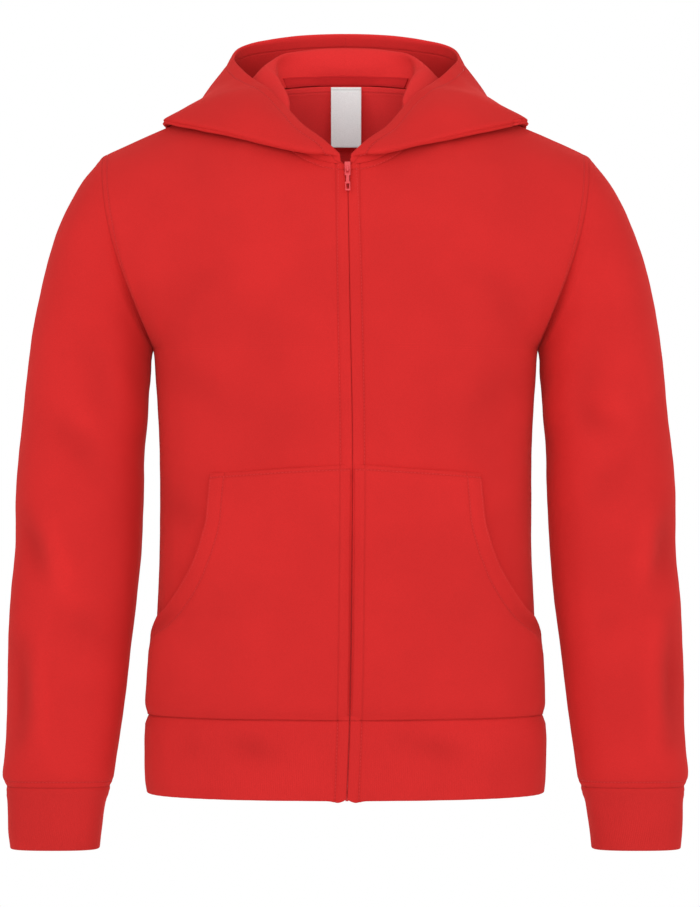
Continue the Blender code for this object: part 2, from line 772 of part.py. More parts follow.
def build_zip_tape(side, parent):
    """The woven tape behind one front's edge."""
    skin = new_skin()
    columns = 2
    inner = CHAIN_HALF_WIDTH + SEAM_GAP
    heights = [HEM + TAPE_FOOT_RISE, mix(HEM, WAIST_SEAM, 1 / 3), mix(HEM, WAIST_SEAM, 2 / 3)]
    heights += [mix(WAIST_SEAM, ARMPIT, row / BODY_ROWS) for row in range(BODY_ROWS + 1)]
    heights += [mix(ARMPIT, NECK_FRONT, row / YOKE_ROWS) for row in range(1, YOKE_ROWS)]
    heights.append(NECK_FRONT - TAPE_SHORT)

    def tape(column, row):
        height = heights[row]
        wall = FLEECE if height > WAIST_SEAM + 1.0 else RIB
        across = mix(inner, inner + TAPE_WIDTH, column / columns)
        return front_spot(side, side * zip_x(height) + across, height, wall + TAPE_SET)

    add_patch(skin, 1, columns, len(heights) - 1, tape)
    close_skin(skin, Vector((0, -1, 0)))
    wall = wall_of(skin, 1, 0.0, TAPE_CLOTH)
    skin.free()
    add_object("zip_tape_" + SIDE_NAMES[side], wall, "zip_tape", parent)


def sweep(heights, half_width, face_depth, thickness):
    """A closed bar that follows the zip's line through the heights."""
    bar = bmesh.new()
    rings = []
    for height in heights:
        corners = (
            zip_spot(height, face_depth, -half_width),
            zip_spot(height, face_depth, half_width),
            zip_spot(height, face_depth + thickness, half_width),
            zip_spot(height, face_depth + thickness, -half_width),
        )
        ring = [bar.verts.new(corner * MM) for corner in corners]
        rings.append([bar.edges.new((ring[i], ring[(i + 1) % 4])) for i in range(4)])
    for lower, upper in zip(rings, rings[1:]):
        bmesh.ops.bridge_loops(bar, edges=lower + upper)
    bmesh.ops.holes_fill(bar, edges=rings[0] + rings[-1], sides=4)
    bmesh.ops.recalc_face_normals(bar, faces=bar.faces)
    return bar


def block(width, depth, height, corner=0.25):
    """A box with rounded edges round the origin, in millimetres."""
    made = bmesh.new()
    size = Matrix.Diagonal((width * MM, depth * MM, height * MM, 1))
    bmesh.ops.create_cube(made, size=1.0, matrix=size)
    bmesh.ops.bevel(
        made,
        geom=made.edges,
        offset=corner * MM,
        affect="EDGES",
        segments=1,
        profile=0.5,
        material=-1,
    )
    return made


def place_block(made, across, out, drop):
    """Moves a block in the slider's own frame: out from the cloth and down from its top."""
    bmesh.ops.translate(made, verts=made.verts, vec=Vector((across, -out, -drop)) * MM)
    return made


def unite(name, shapes, finish, parent, frame):
    """One body from several overlapping shapes, placed by the frame."""
    thing = add_object(name, shapes[0], finish, parent)
    thing.matrix_world = frame
    for number, shape in enumerate(shapes[1:], 1):
        helper = add_object(f"{name}_{number}", shape, finish, parent)
        helper.matrix_world = frame
        helper.hide_render = True
        helper.display_type = "WIRE"
        union = thing.modifiers.new(f"union_{number}", "BOOLEAN")
        union.operation = "UNION"
        union.solver = "EXACT"
        union.object = helper
    return thing


def slider_frame():
    """The slider's frame: its top middle on the cloth's face, with -Y out of the cloth."""
    top, foot = zip_spot(SLIDER_TOP, 0.0), zip_spot(SLIDER_TOP - SLIDER_REACH, 0.0)
    down = (foot - top).normalized()
    across = Vector((1, 0, 0))
    back = across.cross(down)
    turned = Matrix((across, -back if back.y < 0 else back, -down)).transposed()
    return Matrix.Translation(top * MM) @ turned.to_4x4()


def build_slider(parent):
    """The slider: a plate in front, a stem through the gap, a plate behind and its crown."""
    width, depth, height = SLIDER_PLATE
    lift = SLIDER_LIFT
    front = place_block(block(width, depth, height), 0, lift + depth / 2, height / 2)
    behind = FLEECE + TAPE_SET + TAPE_CLOTH + 2 * SEAM_GAP
    back_width, back_depth, back_height = SLIDER_BACK
    back = place_block(
        block(back_width, back_depth, back_height), 0, -behind - back_depth / 2, height / 2
    )
    stem_width, stem_height = SLIDER_STEM
    reach = behind + lift + 2 * STEM_BITE
    stem = place_block(
        block(stem_width, reach, stem_height), 0, lift + STEM_BITE - reach / 2, height / 2
    )
    face = lift + depth
    feet = []
    for drop in (CROWN_SPAN[0] + CROWN_BAR / 2, CROWN_SPAN[1] - CROWN_BAR / 2):
        foot = block(CROWN_WIDTH, CROWN_RISE + 0.6, CROWN_BAR, 0.2)
        feet.append(place_block(foot, 0, face + CROWN_RISE / 2 - 0.3, drop))
    bar = block(CROWN_WIDTH, CROWN_BAR, CROWN_SPAN[1] - CROWN_SPAN[0], 0.2)
    feet.append(place_block(bar, 0, face + CROWN_RISE - CROWN_BAR / 2, sum(CROWN_SPAN) / 2))
    unite("zip_slider", [front, stem, back, *feet], "zip_enamel", parent, slider_frame())


def build_pull(parent):
    """The pull tab, hung on the crown, with its origin on its hinge."""
    neck_width, neck_length = PULL_NECK
    loop_top = PULL_EYE + neck_length
    foot = loop_top + PULL_LOOP
    corner = 0.2
    shapes = [
        # the neck, then the bars across below it, at the foot and above it
        place_block(
            block(neck_width, PULL_BAR, neck_length), 0, 0, PULL_EYE + neck_length / 2
        ),
        place_block(block(PULL_WIDTH, PULL_BAR, PULL_ARM * 2, corner), 0, 0, loop_top),
        place_block(block(PULL_WIDTH, PULL_BAR, PULL_ARM * 2, corner), 0, 0, foot - PULL_ARM),
        place_block(block(PULL_WIDTH, PULL_BAR, PULL_ARM * 2, corner), 0, 0, PULL_EYE),
    ]
    spans = ((-PULL_BAR / 2, PULL_EYE + PULL_ARM), (loop_top - PULL_ARM, foot))
    for top, end in spans:
        for way in (-1, 1):
            arm = block(PULL_ARM, PULL_BAR * 0.96, end - top - 0.1, corner)
            across = way * (PULL_WIDTH - PULL_ARM - 0.06) / 2
            shapes.append(place_block(arm, across, 0, (top + end) / 2))
    bar = bmesh.new()
    bmesh.ops.create_cone(
        bar,
        cap_ends=True,
        segments=12,
        radius1=PULL_BAR * 0.45 * MM,
        radius2=PULL_BAR * 0.45 * MM,
        depth=(PULL_WIDTH - 0.4) * MM,
        matrix=Matrix.Rotation(pi / 2, 4, "Y"),
    )
    shapes.append(bar)
    rise = SLIDER_LIFT + SLIDER_PLATE[1] + HINGE_RISE
    hinge = Matrix.Translation(Vector((0, -rise, -HINGE_DROP)) * MM)
    unite("zip_pull", shapes, "zip_enamel", parent, slider_frame() @ hinge)


def build_zip(parent):
    """The tapes, the closed chain, the bottom box, the slider and its pull tab."""
    for side in (LEFT, RIGHT):
        build_zip_tape(side, parent)
    top = SLIDER_TOP - SLIDER_PLATE[2] + CHAIN_TUCK
    heights = [mix(HEM + CHAIN_FOOT, top, step / CHAIN_STEPS) for step in range(CHAIN_STEPS + 1)]
    chain = sweep(heights, CHAIN_HALF_WIDTH, CHAIN_DEPTH, CHAIN_THICKNESS)
    add_object("zip_chain", chain, "zip_coil", parent)
    spots = [HEM + BOX_SPAN[0], HEM + BOX_SPAN[1]]
    box = sweep(spots, CHAIN_HALF_WIDTH, BOX_DEPTH, BOX_THICKNESS)
    add_object("zip_box", box, "zip_coil", parent)
    build_slider(parent)
    build_pull(parent)


def build():
    """Makes the whole garment under one empty."""
    clear_scene()
    root = bpy.data.objects.new("hoodie", None)
    bpy.context.scene.collection.objects.link(root)
    build_garment(root)
    build_hood(root)
    build_neck_tape(root)
    build_label(root)
    build_pockets(root)
    build_zip(root)


build()
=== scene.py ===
"""The looks of a child's full-zip hooded sweatshirt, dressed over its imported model.

The front faces -Y, the wearer's left is +X and +Z is up. The origin is the middle of the neck.
Sizes are in millimetres, apart from names that end in _m, and meshes are made in metres.
"""

import logging
from bisect import bisect_right
from dataclasses import dataclass, field, replace
from enum import Enum
from functools import cached_property, partial, reduce
from itertools import compress
from math import asin, cos, pi, radians, sin
from typing import Callable, Iterable, Sequence

import bmesh
import bpy
import numpy as np
from mathutils import Matrix, Vector
from mathutils.bvhtree import BVHTree
from mathutils.kdtree import KDTree


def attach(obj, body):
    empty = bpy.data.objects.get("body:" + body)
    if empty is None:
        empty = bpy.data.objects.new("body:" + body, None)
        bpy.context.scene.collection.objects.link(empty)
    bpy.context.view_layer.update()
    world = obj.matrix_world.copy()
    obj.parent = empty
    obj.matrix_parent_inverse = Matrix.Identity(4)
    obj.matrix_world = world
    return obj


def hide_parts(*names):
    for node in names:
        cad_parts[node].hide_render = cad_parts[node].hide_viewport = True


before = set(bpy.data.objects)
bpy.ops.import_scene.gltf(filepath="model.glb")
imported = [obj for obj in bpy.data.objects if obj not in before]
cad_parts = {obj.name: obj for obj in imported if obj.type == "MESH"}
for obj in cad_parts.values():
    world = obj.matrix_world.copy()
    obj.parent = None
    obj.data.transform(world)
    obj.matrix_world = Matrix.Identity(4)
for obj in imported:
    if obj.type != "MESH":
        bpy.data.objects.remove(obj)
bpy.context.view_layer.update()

log = logging.getLogger("sweatshirt")

MM = 0.001
FAR = 1.0  # a distance in metres that no line comes near
CLOSEST = 1e-7  # places nearer than this count as one
SAME_SPOT = 0.01  # corners nearer than this are joined
HALVINGS = 24  # how often a search by halves narrows its range
SEAM_STEPS = 1200  # how many steps a seam is measured in
EDGE_SHARE = 0.12  # how thick a wall is at a rounded edge, as a share of the whole
FLEECE_WALL = 2.0
RIB_WALL = 2.6
ROW_LAYERS = ("row_a", "row_b", "row_c", "row_d")
SEAM_LAYERS = (
    "from_zip", "from_side", "from_neck", "from_shoulder", "from_underarm", "from_waist",
    "from_armhole", "from_cuff", "from_end",
)
PATCH_LAYERS = ("from_first", "from_last", "from_foot", "from_top")
Colour = tuple[float, float, float]
Maker = bmesh.types.BMesh
Size = float | Vector | np.ndarray
Socket = bpy.types.NodeSocket
Place = Callable[[float, float], Vector]


class Side(Enum):
    """The wearer's left or right, valued as the sign of x."""

    LEFT = 1
    RIGHT = -1

    @property
    def label(self) -> str:
        """The side's name in the names of pieces."""
        return self.name.lower()


class Face(Enum):
    """The front or the back, valued as the sign of y."""

    FRONT = -1
    BACK = 1


class Weave(Enum):
    """How a textile's threads lie."""

    JERSEY = "jersey"
    RIB = "rib"
    TWILL = "twill"
    SATIN = "satin"


# how far a row climbs from one column to the next
LEAN = {Weave.JERSEY: 0.55, Weave.TWILL: 1.0, Weave.SATIN: 0.25}
COURSE_SHARE = 0.8  # a row's height, as a share of a column's width
RIB_ROUNDNESS = 0.6
LOOP_ROUNDNESS = 0.5


def mix(start: Size, end: Size, share: float) -> Size:
    """The value a share of the way from start to end."""
    return start + (end - start) * share


def curve(start: Size, end: Size, leaves: Size, arrives: Size, t: float) -> Size:
    """A share of the way along a smooth curve between two values or points.

    Args:
        start: Where it starts.
        end: Where it ends.
        leaves: How it leaves the start.
        arrives: How it arrives at the end.
        t: The share.

    Returns:
        The value or point.
    """
    back = 1 - t
    return (
        start * (1 + 2 * t) * back**2
        + end * t * t * (3 - 2 * t)
        + leaves * t * back**2
        - arrives * t * t * back
    )


def unit(value: float) -> float:
    """The value, kept from 0 to 1."""
    return min(max(value, 0.0), 1.0)


def shares(count: int) -> list[float]:
    """Even shares from 0 to 1, in so many steps."""
    return [index / count for index in range(count + 1)]


def bell(away: np.ndarray, place: float, width: float) -> np.ndarray:
    """A smooth hill, 1 high, over distances from a line."""
    return np.exp(-(((away - place) / width) ** 2))


def inset(edge: Vector, inner: Vector, gap: float) -> Vector:
    """The point that far from an edge towards an inner point."""
    return edge + (inner - edge).normalized() * gap


def search_tree(points: Sequence[Vector]) -> KDTree:
    """Makes a search tree in metres.

    Args:
        points: The points in millimetres.

    Returns:
        The tree.
    """
    tree = KDTree(len(points))
    for index, point in enumerate(points):
        tree.insert(point * MM, index)
    tree.balance()
    return tree


def spaced(
    start: float, end: float, step: float, near: Sequence[float] = (), far: Sequence[float] = ()
) -> list[float]:
    """Places from start to end, evenly spaced between closer ones at both ends.

    Args:
        start: The first place.
        end: The last place.
        step: The even spacing, at most.
        near: Distances of the closer places from the start.
        far: Distances of the closer places from the end.

    Returns:
        The places in rising order.
    """
    low, high = start + max(near, default=0.0), end - max(far, default=0.0)
    count = max(round((high - low) / step), 1)
    middle = [mix(low, high, share) for share in shares(count)]
    places = {start, end, *(start + gap for gap in near), *middle, *(end - gap for gap in far)}
    rising = sorted(places)
    return [rising[0], *(b for a, b in zip(rising, rising[1:]) if b - a > CLOSEST)]


@dataclass(frozen=True)
class SizeTable:
    """Rows of sizes under named columns, read between rows by a smooth curve."""

    columns: tuple[str, ...]
    rows: tuple[tuple[float, ...], ...]

    @cached_property
    def places(self) -> list[float]:
        """The first column."""
        return [row[0] for row in self.rows]

    @cached_property
    def slopes(self) -> list[list[float]]:
        """The curve's slope in each column at each row, flat where the sizes turn.

        Returns:
            The slopes, a row at a time.
        """
        table = []
        for row in range(len(self.rows)):
            steps = []
            for low, high in ((max(row - 1, 0), row), (row, min(row + 1, len(self.rows) - 1))):
                if low != high:
                    width = self.places[high] - self.places[low]
                    pairs = zip(self.rows[low], self.rows[high])
                    steps.append([(b - a) / width for a, b in pairs])
            if len(steps) == 1:
                table.append(steps[0])
            else:
                table.append([2 * a * b / (a + b) if a * b > 0 else 0.0 for a, b in zip(*steps)])
        return table

    def at(self, place: float, name: str) -> float:
        """The named size at a place.

        Args:
            place: Where to read, in the first column's terms.
            name: The column's name.

        Returns:
            The size in millimetres.
        """
        column = self.columns.index(name)
        place = min(max(place, self.places[0]), self.places[-1])
        low = min(bisect_right(self.places, place) - 1, len(self.places) - 2)
        span = self.places[low + 1] - self.places[low]
        ends = (rows[column] for rows in self.rows[low : low + 2])
        ways = (slopes[column] * span for slopes in self.slopes[low : low + 2])
        return curve(*ends, *ways, (place - self.places[low]) / span)


# ---- finishes


@dataclass
class Recipe:
    """A node material while it is put together."""

    name: str

    def __post_init__(self) -> None:
        """Starts the material with its shader."""
        self.material = bpy.data.materials.new(self.name)
        self.material.use_nodes = True
        self.tree = self.material.node_tree
        self.shader = self.tree.nodes["Principled BSDF"]

    def add(
        self,
        kind: str,
        inputs: dict[int | str, object] | None = None,
        output: int | str = 0,
        **settings: object,
    ) -> Socket:
        """Adds a node and joins it up.

        Args:
            kind: The node's type.
            inputs: What goes into its sockets, as a value or another node's output.
            output: Which of its outputs is wanted.
            **settings: The node's own settings.

        Returns:
            The wanted output.
        """
        node = self.tree.nodes.new(f"ShaderNode{kind}")
        for key, value in settings.items():
            setattr(node, key, value)
        for key, value in (inputs or {}).items():
            if isinstance(value, Socket):
                self.tree.links.new(value, node.inputs[key])
            else:
                node.inputs[key].default_value = value
        return node.outputs[output]

    def maths(self, operation: str, *values: object) -> Socket:
        """The result of a Math node on the values."""
        return self.add("Math", dict(enumerate(values)), operation=operation)

    def product(self, *values: object) -> Socket:
        """The values multiplied together, in their order."""
        return reduce(lambda result, value: self.maths("MULTIPLY", result, value), values)

    def fade(self, mask: object, depth: float) -> Socket:
        """A factor that is 1, less the depth where the mask is 1."""
        return self.maths("MULTIPLY_ADD", mask, -depth, 1.0)

    def layer(self, name: str) -> Socket:
        """What the surface's layer says."""
        return self.add("Attribute", output="Fac", attribute_name=name)

    def tint(self, colour: Colour, shade: object) -> Socket:
        """The colour, darker or lighter by a factor."""
        return self.add("VectorMath", {0: colour, 3: shade}, operation="SCALE")

    def ramp(
        self, value: object, low: float, high: float, start: float, end: float
    ) -> Socket:
        """A value from start to end as another goes smoothly from low to high."""
        inputs = {0: value, 1: low, 2: high, 3: start, 4: end}
        return self.add("MapRange", inputs, interpolation_type="SMOOTHSTEP")

    def noise(self, scale: float, detail: float = 2.0) -> Socket:
        """Noise from 0 to 1 that keeps its size on the object."""
        place = self.add("TexCoord", output="Object")
        return self.add("TexNoise", {"Vector": place, "Scale": scale, "Detail": detail}, output="Fac")

    def bump(self, height: object, depth_m: float, below: Socket | None = None) -> Socket:
        """The normal of a relief that is so many metres deep, over the one below it."""
        inputs = {"Height": height, "Distance": depth_m, "Strength": 1.0}
        under = {} if below is None else {"Normal": below}
        return self.add("Bump", {**inputs, **under}, output="Normal")

    def finish(self, settings: dict[str, object]) -> bpy.types.Material:
        """Sets the shader's sockets.

        Args:
            settings: A value or another node's output for each socket.

        Returns:
            The material.
        """
        for key, value in settings.items():
            if isinstance(value, Socket):
                self.tree.links.new(value, self.shader.inputs[key])
            else:
                self.shader.inputs[key].default_value = value
        return self.material


@dataclass(frozen=True)
class Textile:
    """A knitted or woven cloth. Its shades say how much darker its grooves are, as a share; its fold
    shade is painted shade in folds and painted light on ridges.
    """

    name: str
    colour: Colour
    weave: Weave
    pitch: float
    relief: float
    roughness: float = 0.9
    specular: float = 0.05
    sheen: float = 0.55
    sheen_roughness: float = 0.5
    sheen_tint: Colour = (1.0, 0.1, 0.085)
    mottle: float = 0.05
    mottle_scale: float = 14.0
    fleck_scale: float = 1400.0
    fuzz_scale: float = 1800.0
    fuzz_depth: float = 0.06
    furrow: float = 0.1  # the shade of the weave's hollows
    seam_shade: float = 0.14
    seam_half_width: float = 1.1
    row_shade: float = 0.12
    row_half_width: float = 1.3
    row_depth: float = 0.25
    fold_shade: float = 0.045  # painted shade in folds and painted light on ridges, for each millimetre of a fold's depth
    crest_limit: float = -1.5  # a ridge is painted lighter, but no lighter where it is higher than this

    def weave_height(self, recipe: Recipe) -> Socket:
        """The weave's own relief.

        Args:
            recipe: The material to add it to.

        Returns:
            The height from 0 to 1.
        """
        flat = recipe.add("UVMap", uv_map="cloth")
        across = recipe.add("SeparateXYZ", {0: flat}, output="X")
        along = recipe.add("SeparateXYZ", {0: flat}, output="Y")
        count = recipe.maths("MULTIPLY", across, 1 / (self.pitch * MM))
        wale = recipe.maths("MULTIPLY", recipe.maths("PINGPONG", count, 0.5), 2.0)
        if self.weave is Weave.RIB:
            return recipe.maths("POWER", wale, RIB_ROUNDNESS)
        rows = recipe.maths("MULTIPLY", along, 1 / (self.pitch * MM * COURSE_SHARE))
        across = wale if self.weave is Weave.JERSEY else count
        phase = recipe.maths("MULTIPLY_ADD", across, LEAN[self.weave], rows)
        wave = recipe.maths("SINE", recipe.maths("MULTIPLY", phase, 2 * pi))
        loop = recipe.maths("MULTIPLY_ADD", wave, 0.5, 0.5)
        if self.weave is Weave.JERSEY:
            return recipe.maths("MULTIPLY", loop, recipe.maths("POWER", wale, LOOP_ROUNDNESS))
        return loop

    @cached_property
    def material(self) -> bpy.types.Material:
        """The cloth as a node material, with painted shade in its folds, painted light on their
        ridges, and darker seams and rows of stitches.

        Returns:
            The material.
        """
        recipe = Recipe(self.name)
        height = self.weave_height(recipe)
        rows: object = 0.0
        for name in ROW_LAYERS:
            off = recipe.maths("ABSOLUTE", recipe.layer(name))
            row = recipe.ramp(off, 0.0, self.row_half_width * MM, 1.0, 0.0)
            rows = recipe.maths("MAXIMUM", rows, row)
        join = recipe.ramp(recipe.layer("seam"), 0.0, self.seam_half_width * MM, 1.0, 0.0)
        blots, flecks = recipe.noise(self.mottle_scale, 3.0), recipe.noise(self.fleck_scale)
        dark = 1 - self.mottle
        # Painted shade in the folds' troughs and painted light on their ridges, by their depth.
        fold = recipe.maths("MAXIMUM", recipe.layer("trough"), self.crest_limit)
        shade = recipe.product(
            recipe.ramp(blots, 0.3, 0.7, dark, 1 + self.mottle / 2),
            recipe.ramp(flecks, 0.2, 0.8, dark, 1 + self.mottle),
            recipe.fade(rows, self.row_shade),
            recipe.fade(join, self.seam_shade),
            recipe.fade(fold, self.fold_shade),
            recipe.maths("MULTIPLY_ADD", height, self.furrow, 1 - self.furrow),
        )
        fuzz = recipe.bump(recipe.noise(self.fuzz_scale), self.fuzz_depth * MM)
        knit = recipe.bump(height, self.relief * MM, fuzz)
        sunk = recipe.bump(recipe.maths("MULTIPLY", rows, -1.0), self.row_depth * MM, knit)
        return recipe.finish(
            {
                "Base Color": recipe.tint(self.colour, shade),
                "Roughness": self.roughness,
                "Sheen Weight": self.sheen,
                "Sheen Roughness": self.sheen_roughness,
                "Sheen Tint": (*self.sheen_tint, 1.0),
                "Specular IOR Level": self.specular,
                "Normal": sunk,
            }
        )


@dataclass(frozen=True)
class Gloss:
    """A hard finish: painted metal, nylon or thread."""

    name: str
    colour: Colour
    roughness: float
    coat: float = 0.0
    coat_roughness: float = 0.15
    wear: float = 0.08
    grain: float = 900.0
    grain_depth: float = 0.02
    smear: float = 0.15  # how much rougher or smoother it is from place to place
    smear_scale: float = 300.0

    @cached_property
    def material(self) -> bpy.types.Material:
        """The finish as a node material.

        Returns:
            The material.
        """
        recipe = Recipe(self.name)
        grain = recipe.noise(self.grain, 3.0)
        shade = recipe.ramp(grain, 0.25, 0.75, 1 - self.wear, 1 + self.wear)
        low, high = (self.roughness * (1 + way * self.smear) for way in (-1, 1))
        return recipe.finish(
            {
                "Base Color": recipe.tint(self.colour, shade),
                "Roughness": recipe.ramp(recipe.noise(self.smear_scale), 0.3, 0.7, low, high),
                "Coat Weight": self.coat,
                "Coat Roughness": self.coat_roughness,
                "Normal": recipe.bump(grain, self.grain_depth * MM),
            }
        )


RED: Colour = (0.66, 0.026, 0.025)
FLEECE = Textile("brushed_jersey", RED, Weave.JERSEY, 0.9, 0.06)
# The inner faces' jersey is paler than the outside. Mostly this is painted light that brightens the
# shaded inside; partly it is the brushed back's own paler tone.
PAINTED_LIGHT_LINING = Textile("inner_jersey", (0.95, 0.046, 0.047), Weave.JERSEY, 0.9, 0.06)
# The hood's inner face is the same fleece, made paler as painted light in the hood's shaded hollow.
PAINTED_LIGHT_HOOD_LINING = Textile("hood_jersey", (0.77, 0.033, 0.033), Weave.JERSEY, 0.9, 0.06)
RIBBING = Textile("rib_knit", (0.615, 0.0245, 0.0237), Weave.RIB, 1.5, 0.09, furrow=0.035)
# The cuffs have the waistband's rib knit, made darker as painted shade.
PAINTED_SHADE_CUFF_RIBBING = Textile("cuff_rib_knit", (0.56, 0.0235, 0.0225), Weave.RIB, 1.5, 0.09, furrow=0.035)
NECK_TAPE = Textile("neck_tape_twill", (0.62, 0.022, 0.024), Weave.TWILL, 1.1, 0.07, sheen=0.05)
ZIP_TAPE = Textile("zip_tape_twill", (0.50, 0.02, 0.021), Weave.TWILL, 0.9, 0.07, sheen=0.03)
LABEL_CLOTH = Textile(
    "label_satin", (0.86, 0.87, 0.87), Weave.SATIN, 0.5, 0.03,
    roughness=0.6, furrow=0.03, sheen=0.0,
)
THREAD = Gloss("sewing_thread", (0.64, 0.023, 0.023), 0.65, grain=2500.0)
NYLON = Gloss("zip_nylon", (0.6, 0.022, 0.024), 0.5, grain=1500.0)
ENAMEL = Gloss("zip_enamel", (0.72, 0.05, 0.06), 0.28, coat=0.5, wear=0.06)


# ---- forms


@dataclass(frozen=True)
class Fold:
    """A soft trough across a sleeve."""

    along: float
    heading: float
    half_length: float
    half_width: float
    depth: float


@dataclass
class BodyForm:
    """The form of the trunk, shoulders, neckline and sleeves.

    The trunk's sections are superellipses of one power. A turn runs from 0 at the middle to 1 at
    the side seam, and up runs from 0 at the armpit to 1 at the top edge.
    """

    hem: float = -571.8
    waist_seam: float = -508.2
    armpit: float = -213.0
    neck_front: float = -67.0
    nape: float = 5.5
    neck_half_width: float = 70.0
    neck_side: tuple[float, float] = (10.0, -7.0)
    neck_front_y: float = -62.0
    neck_back_y: float = 62.0
    shoulder_tip: tuple[float, float, float] = (196.5, 6.0, -57.0)
    shoulder_bow: float = 4.0
    armhole_front: float = 52.0
    armhole_back: float = 56.0
    zip_half_gap: float = 1.6
    power: float = 2.3
    neck_share: float = 5 / 12  # where along the top edge the shoulder seam starts
    neck_dip: float = 1.3
    yoke_powers: tuple[float, float, float] = (2.5, 5, 2.2)
    cuff_seam: float = 471.5
    cuff_end: float = 521.0
    armhole_fade: float = 120.0
    fold_starts: float = 30.0
    fold_ends: float = 20.0
    sleeve_roundness: float = 0.74
    round_from: float = 60.0
    trunk: SizeTable = SizeTable(
        ("height", "half_width", "front", "back"),
        (
            (-571.8, 160.5, 97, 94), (-560, 161.8, 99, 96), (-530, 162.3, 100, 97),
            (-515, 161.4, 99.4, 96.4), (-508.2, 159.2, 98.4, 95.6), (-498, 159.0, 99.8, 97.2),
            (-460, 156.0, 103, 99), (-425, 152.6, 104, 100), (-350, 150.0, 106, 102),
            (-300, 150.2, 107, 103), (-255, 152.2, 106, 104), (-213, 155.5, 104, 103),
            (-170, 155.5, 97, 103), (-130, 155.5, 86, 101), (-95, 155.5, 73, 97),
            (-67, 155.5, 62, 90), (-30, 155.5, 48, 78), (5.5, 155.5, 34, 62),
        ),
    )
    zip_line: SizeTable = SizeTable(
        ("height", "offset"),
        ((-574, 1.0), (-507, 3.4), (-400, 5.0), (-300, 5.6), (-180, 3.6), (-67, 1.6)),
    )
    sleeve: SizeTable = SizeTable(
        ("along", "outer_x", "outer_z", "inner_x", "inner_z", "y", "depth"),
        (
            (0, 196.5, -57, 155.5, -213, 3, 54), (22, 212.5, -77, 156.6, -223, 3, 55.5),
            (52, 230, -110, 157.2, -237, 2, 57), (90, 243.5, -153, 158.8, -258, 0, 57.5),
            (140, 254, -206, 160.8, -290, -2, 56), (195, 260.5, -268, 163, -330, -5, 53.5),
            (250, 266.5, -330, 165, -372, -8, 50.5), (305, 269.5, -392, 168.6, -416, -11, 47),
            (350, 271.5, -440, 173.3, -454, -13, 43.5), (400, 273, -492, 178.6, -497, -14, 40),
            (448, 275.3, -541, 185, -542, -14, 37), (460, 276.2, -554, 186.8, -554, -14, 35.5),
            (471.5, 273.4, -565.5, 189.8, -565.5, -14, 31.8),
            (485, 271.9, -579, 193.6, -579, -14, 30), (505, 271.6, -600, 196.4, -600, -14, 29),
            (521, 270.2, -616, 198.4, -616, -14, 27.5),
        ),
    )
    sleeve_folds: tuple[Fold, ...] = (
        Fold(70.0, 150.0, 26.0, 34.0, 4.0), Fold(150.0, 165.0, 30.0, 30.0, 3.0),
        Fold(292.0, 48.0, 26.0, 42.0, 3.5), Fold(330.0, 62.0, 20.0, 30.0, 2.0),
        Fold(425.0, 28.0, 30.0, 26.0, 2.5), Fold(100.0, 235.0, 30.0, 40.0, 3.5),
        Fold(290.0, 310.0, 28.0, 46.0, 3.5), Fold(400.0, 280.0, 26.0, 30.0, 2.0),
    )

    def zip_x(self, height: float) -> float:
        """The zip line's x at a height."""
        return self.zip_line.at(height, "offset")

    def trunk_point(
        self, side: Side, face: Face, turn: float, height: float, lift: float = 0.0
    ) -> Vector:
        """A point round the trunk.

        Args:
            side: Which side.
            face: Front or back.
            turn: How far round, from 0 at the middle to 1 at the side seam.
            height: Its z.
            lift: How far it stands off the cloth.

        Returns:
            The point.
        """
        swell = 2 / self.power
        across = sin(turn * pi / 2) ** swell
        inward = max(cos(turn * pi / 2), 0.0) ** swell
        middle = self.zip_x(height) + side.value * self.zip_half_gap if face is Face.FRONT else 0.0
        half_width = self.trunk.at(height, "half_width") + lift
        depth = self.trunk.at(height, "front" if face is Face.FRONT else "back") + lift
        x = mix(middle, side.value * half_width, across)
        return Vector((x, face.value * depth * inward, height))

    def trunk_turn(self, side: Side, height: float, across: float) -> float:
        """The turn at which the front is a distance from the middle.

        Args:
            side: Which side.
            height: Its z.
            across: The distance from the middle.

        Returns:
            The turn, from 0 to 1.
        """
        low, high = 0.0, 1.0
        for _ in range(HALVINGS):
            turn = (low + high) / 2
            if side.value * self.trunk_point(side, Face.FRONT, turn, height).x < across:
                low = turn
            else:
                high = turn
        return low

    def neck_point(self, side: Side, turn: float) -> Vector:
        """The neck seam.

        Args:
            side: Which side.
            turn: 0 at the front middle, 1 at the shoulder seam and 2 at the nape.

        Returns:
            The point.
        """
        side_y, side_z = self.neck_side
        angle = turn * pi / 2
        if turn <= 1:
            middle = self.zip_x(self.neck_front) + side.value * self.zip_half_gap
            depth = self.neck_front_y - side_y
            share = cos(angle) if turn < 1 else 0.0
            height = mix(side_z, self.neck_front, share**self.neck_dip)
        else:
            middle = 0.0
            depth = self.neck_back_y - side_y
            share = -cos(angle)
            height = mix(side_z, self.nape, share)
        across = sin(angle) if turn < 2 else 0.0
        x = mix(middle, side.value * self.neck_half_width, across)
        return Vector((x, side_y + depth * share, height))

    def armhole_point(self, side: Side, face: Face, share: float) -> Vector:
        """The armhole seam.

        Args:
            side: Which side.
            face: Front or back.
            share: From 0 at the armpit to 1 at the shoulder tip.

        Returns:
            The point.
        """
        tip_x, tip_y, tip_z = self.shoulder_tip
        depth = self.armhole_front if face is Face.FRONT else self.armhole_back
        rise = (1 - cos(pi * share)) / 2
        x = mix(self.trunk.at(self.armpit, "half_width"), tip_x, sin(rise * pi / 2))
        y = tip_y * share + face.value * depth * sin(pi * share)
        return Vector((side.value * x, y, mix(self.armpit, tip_z, rise)))

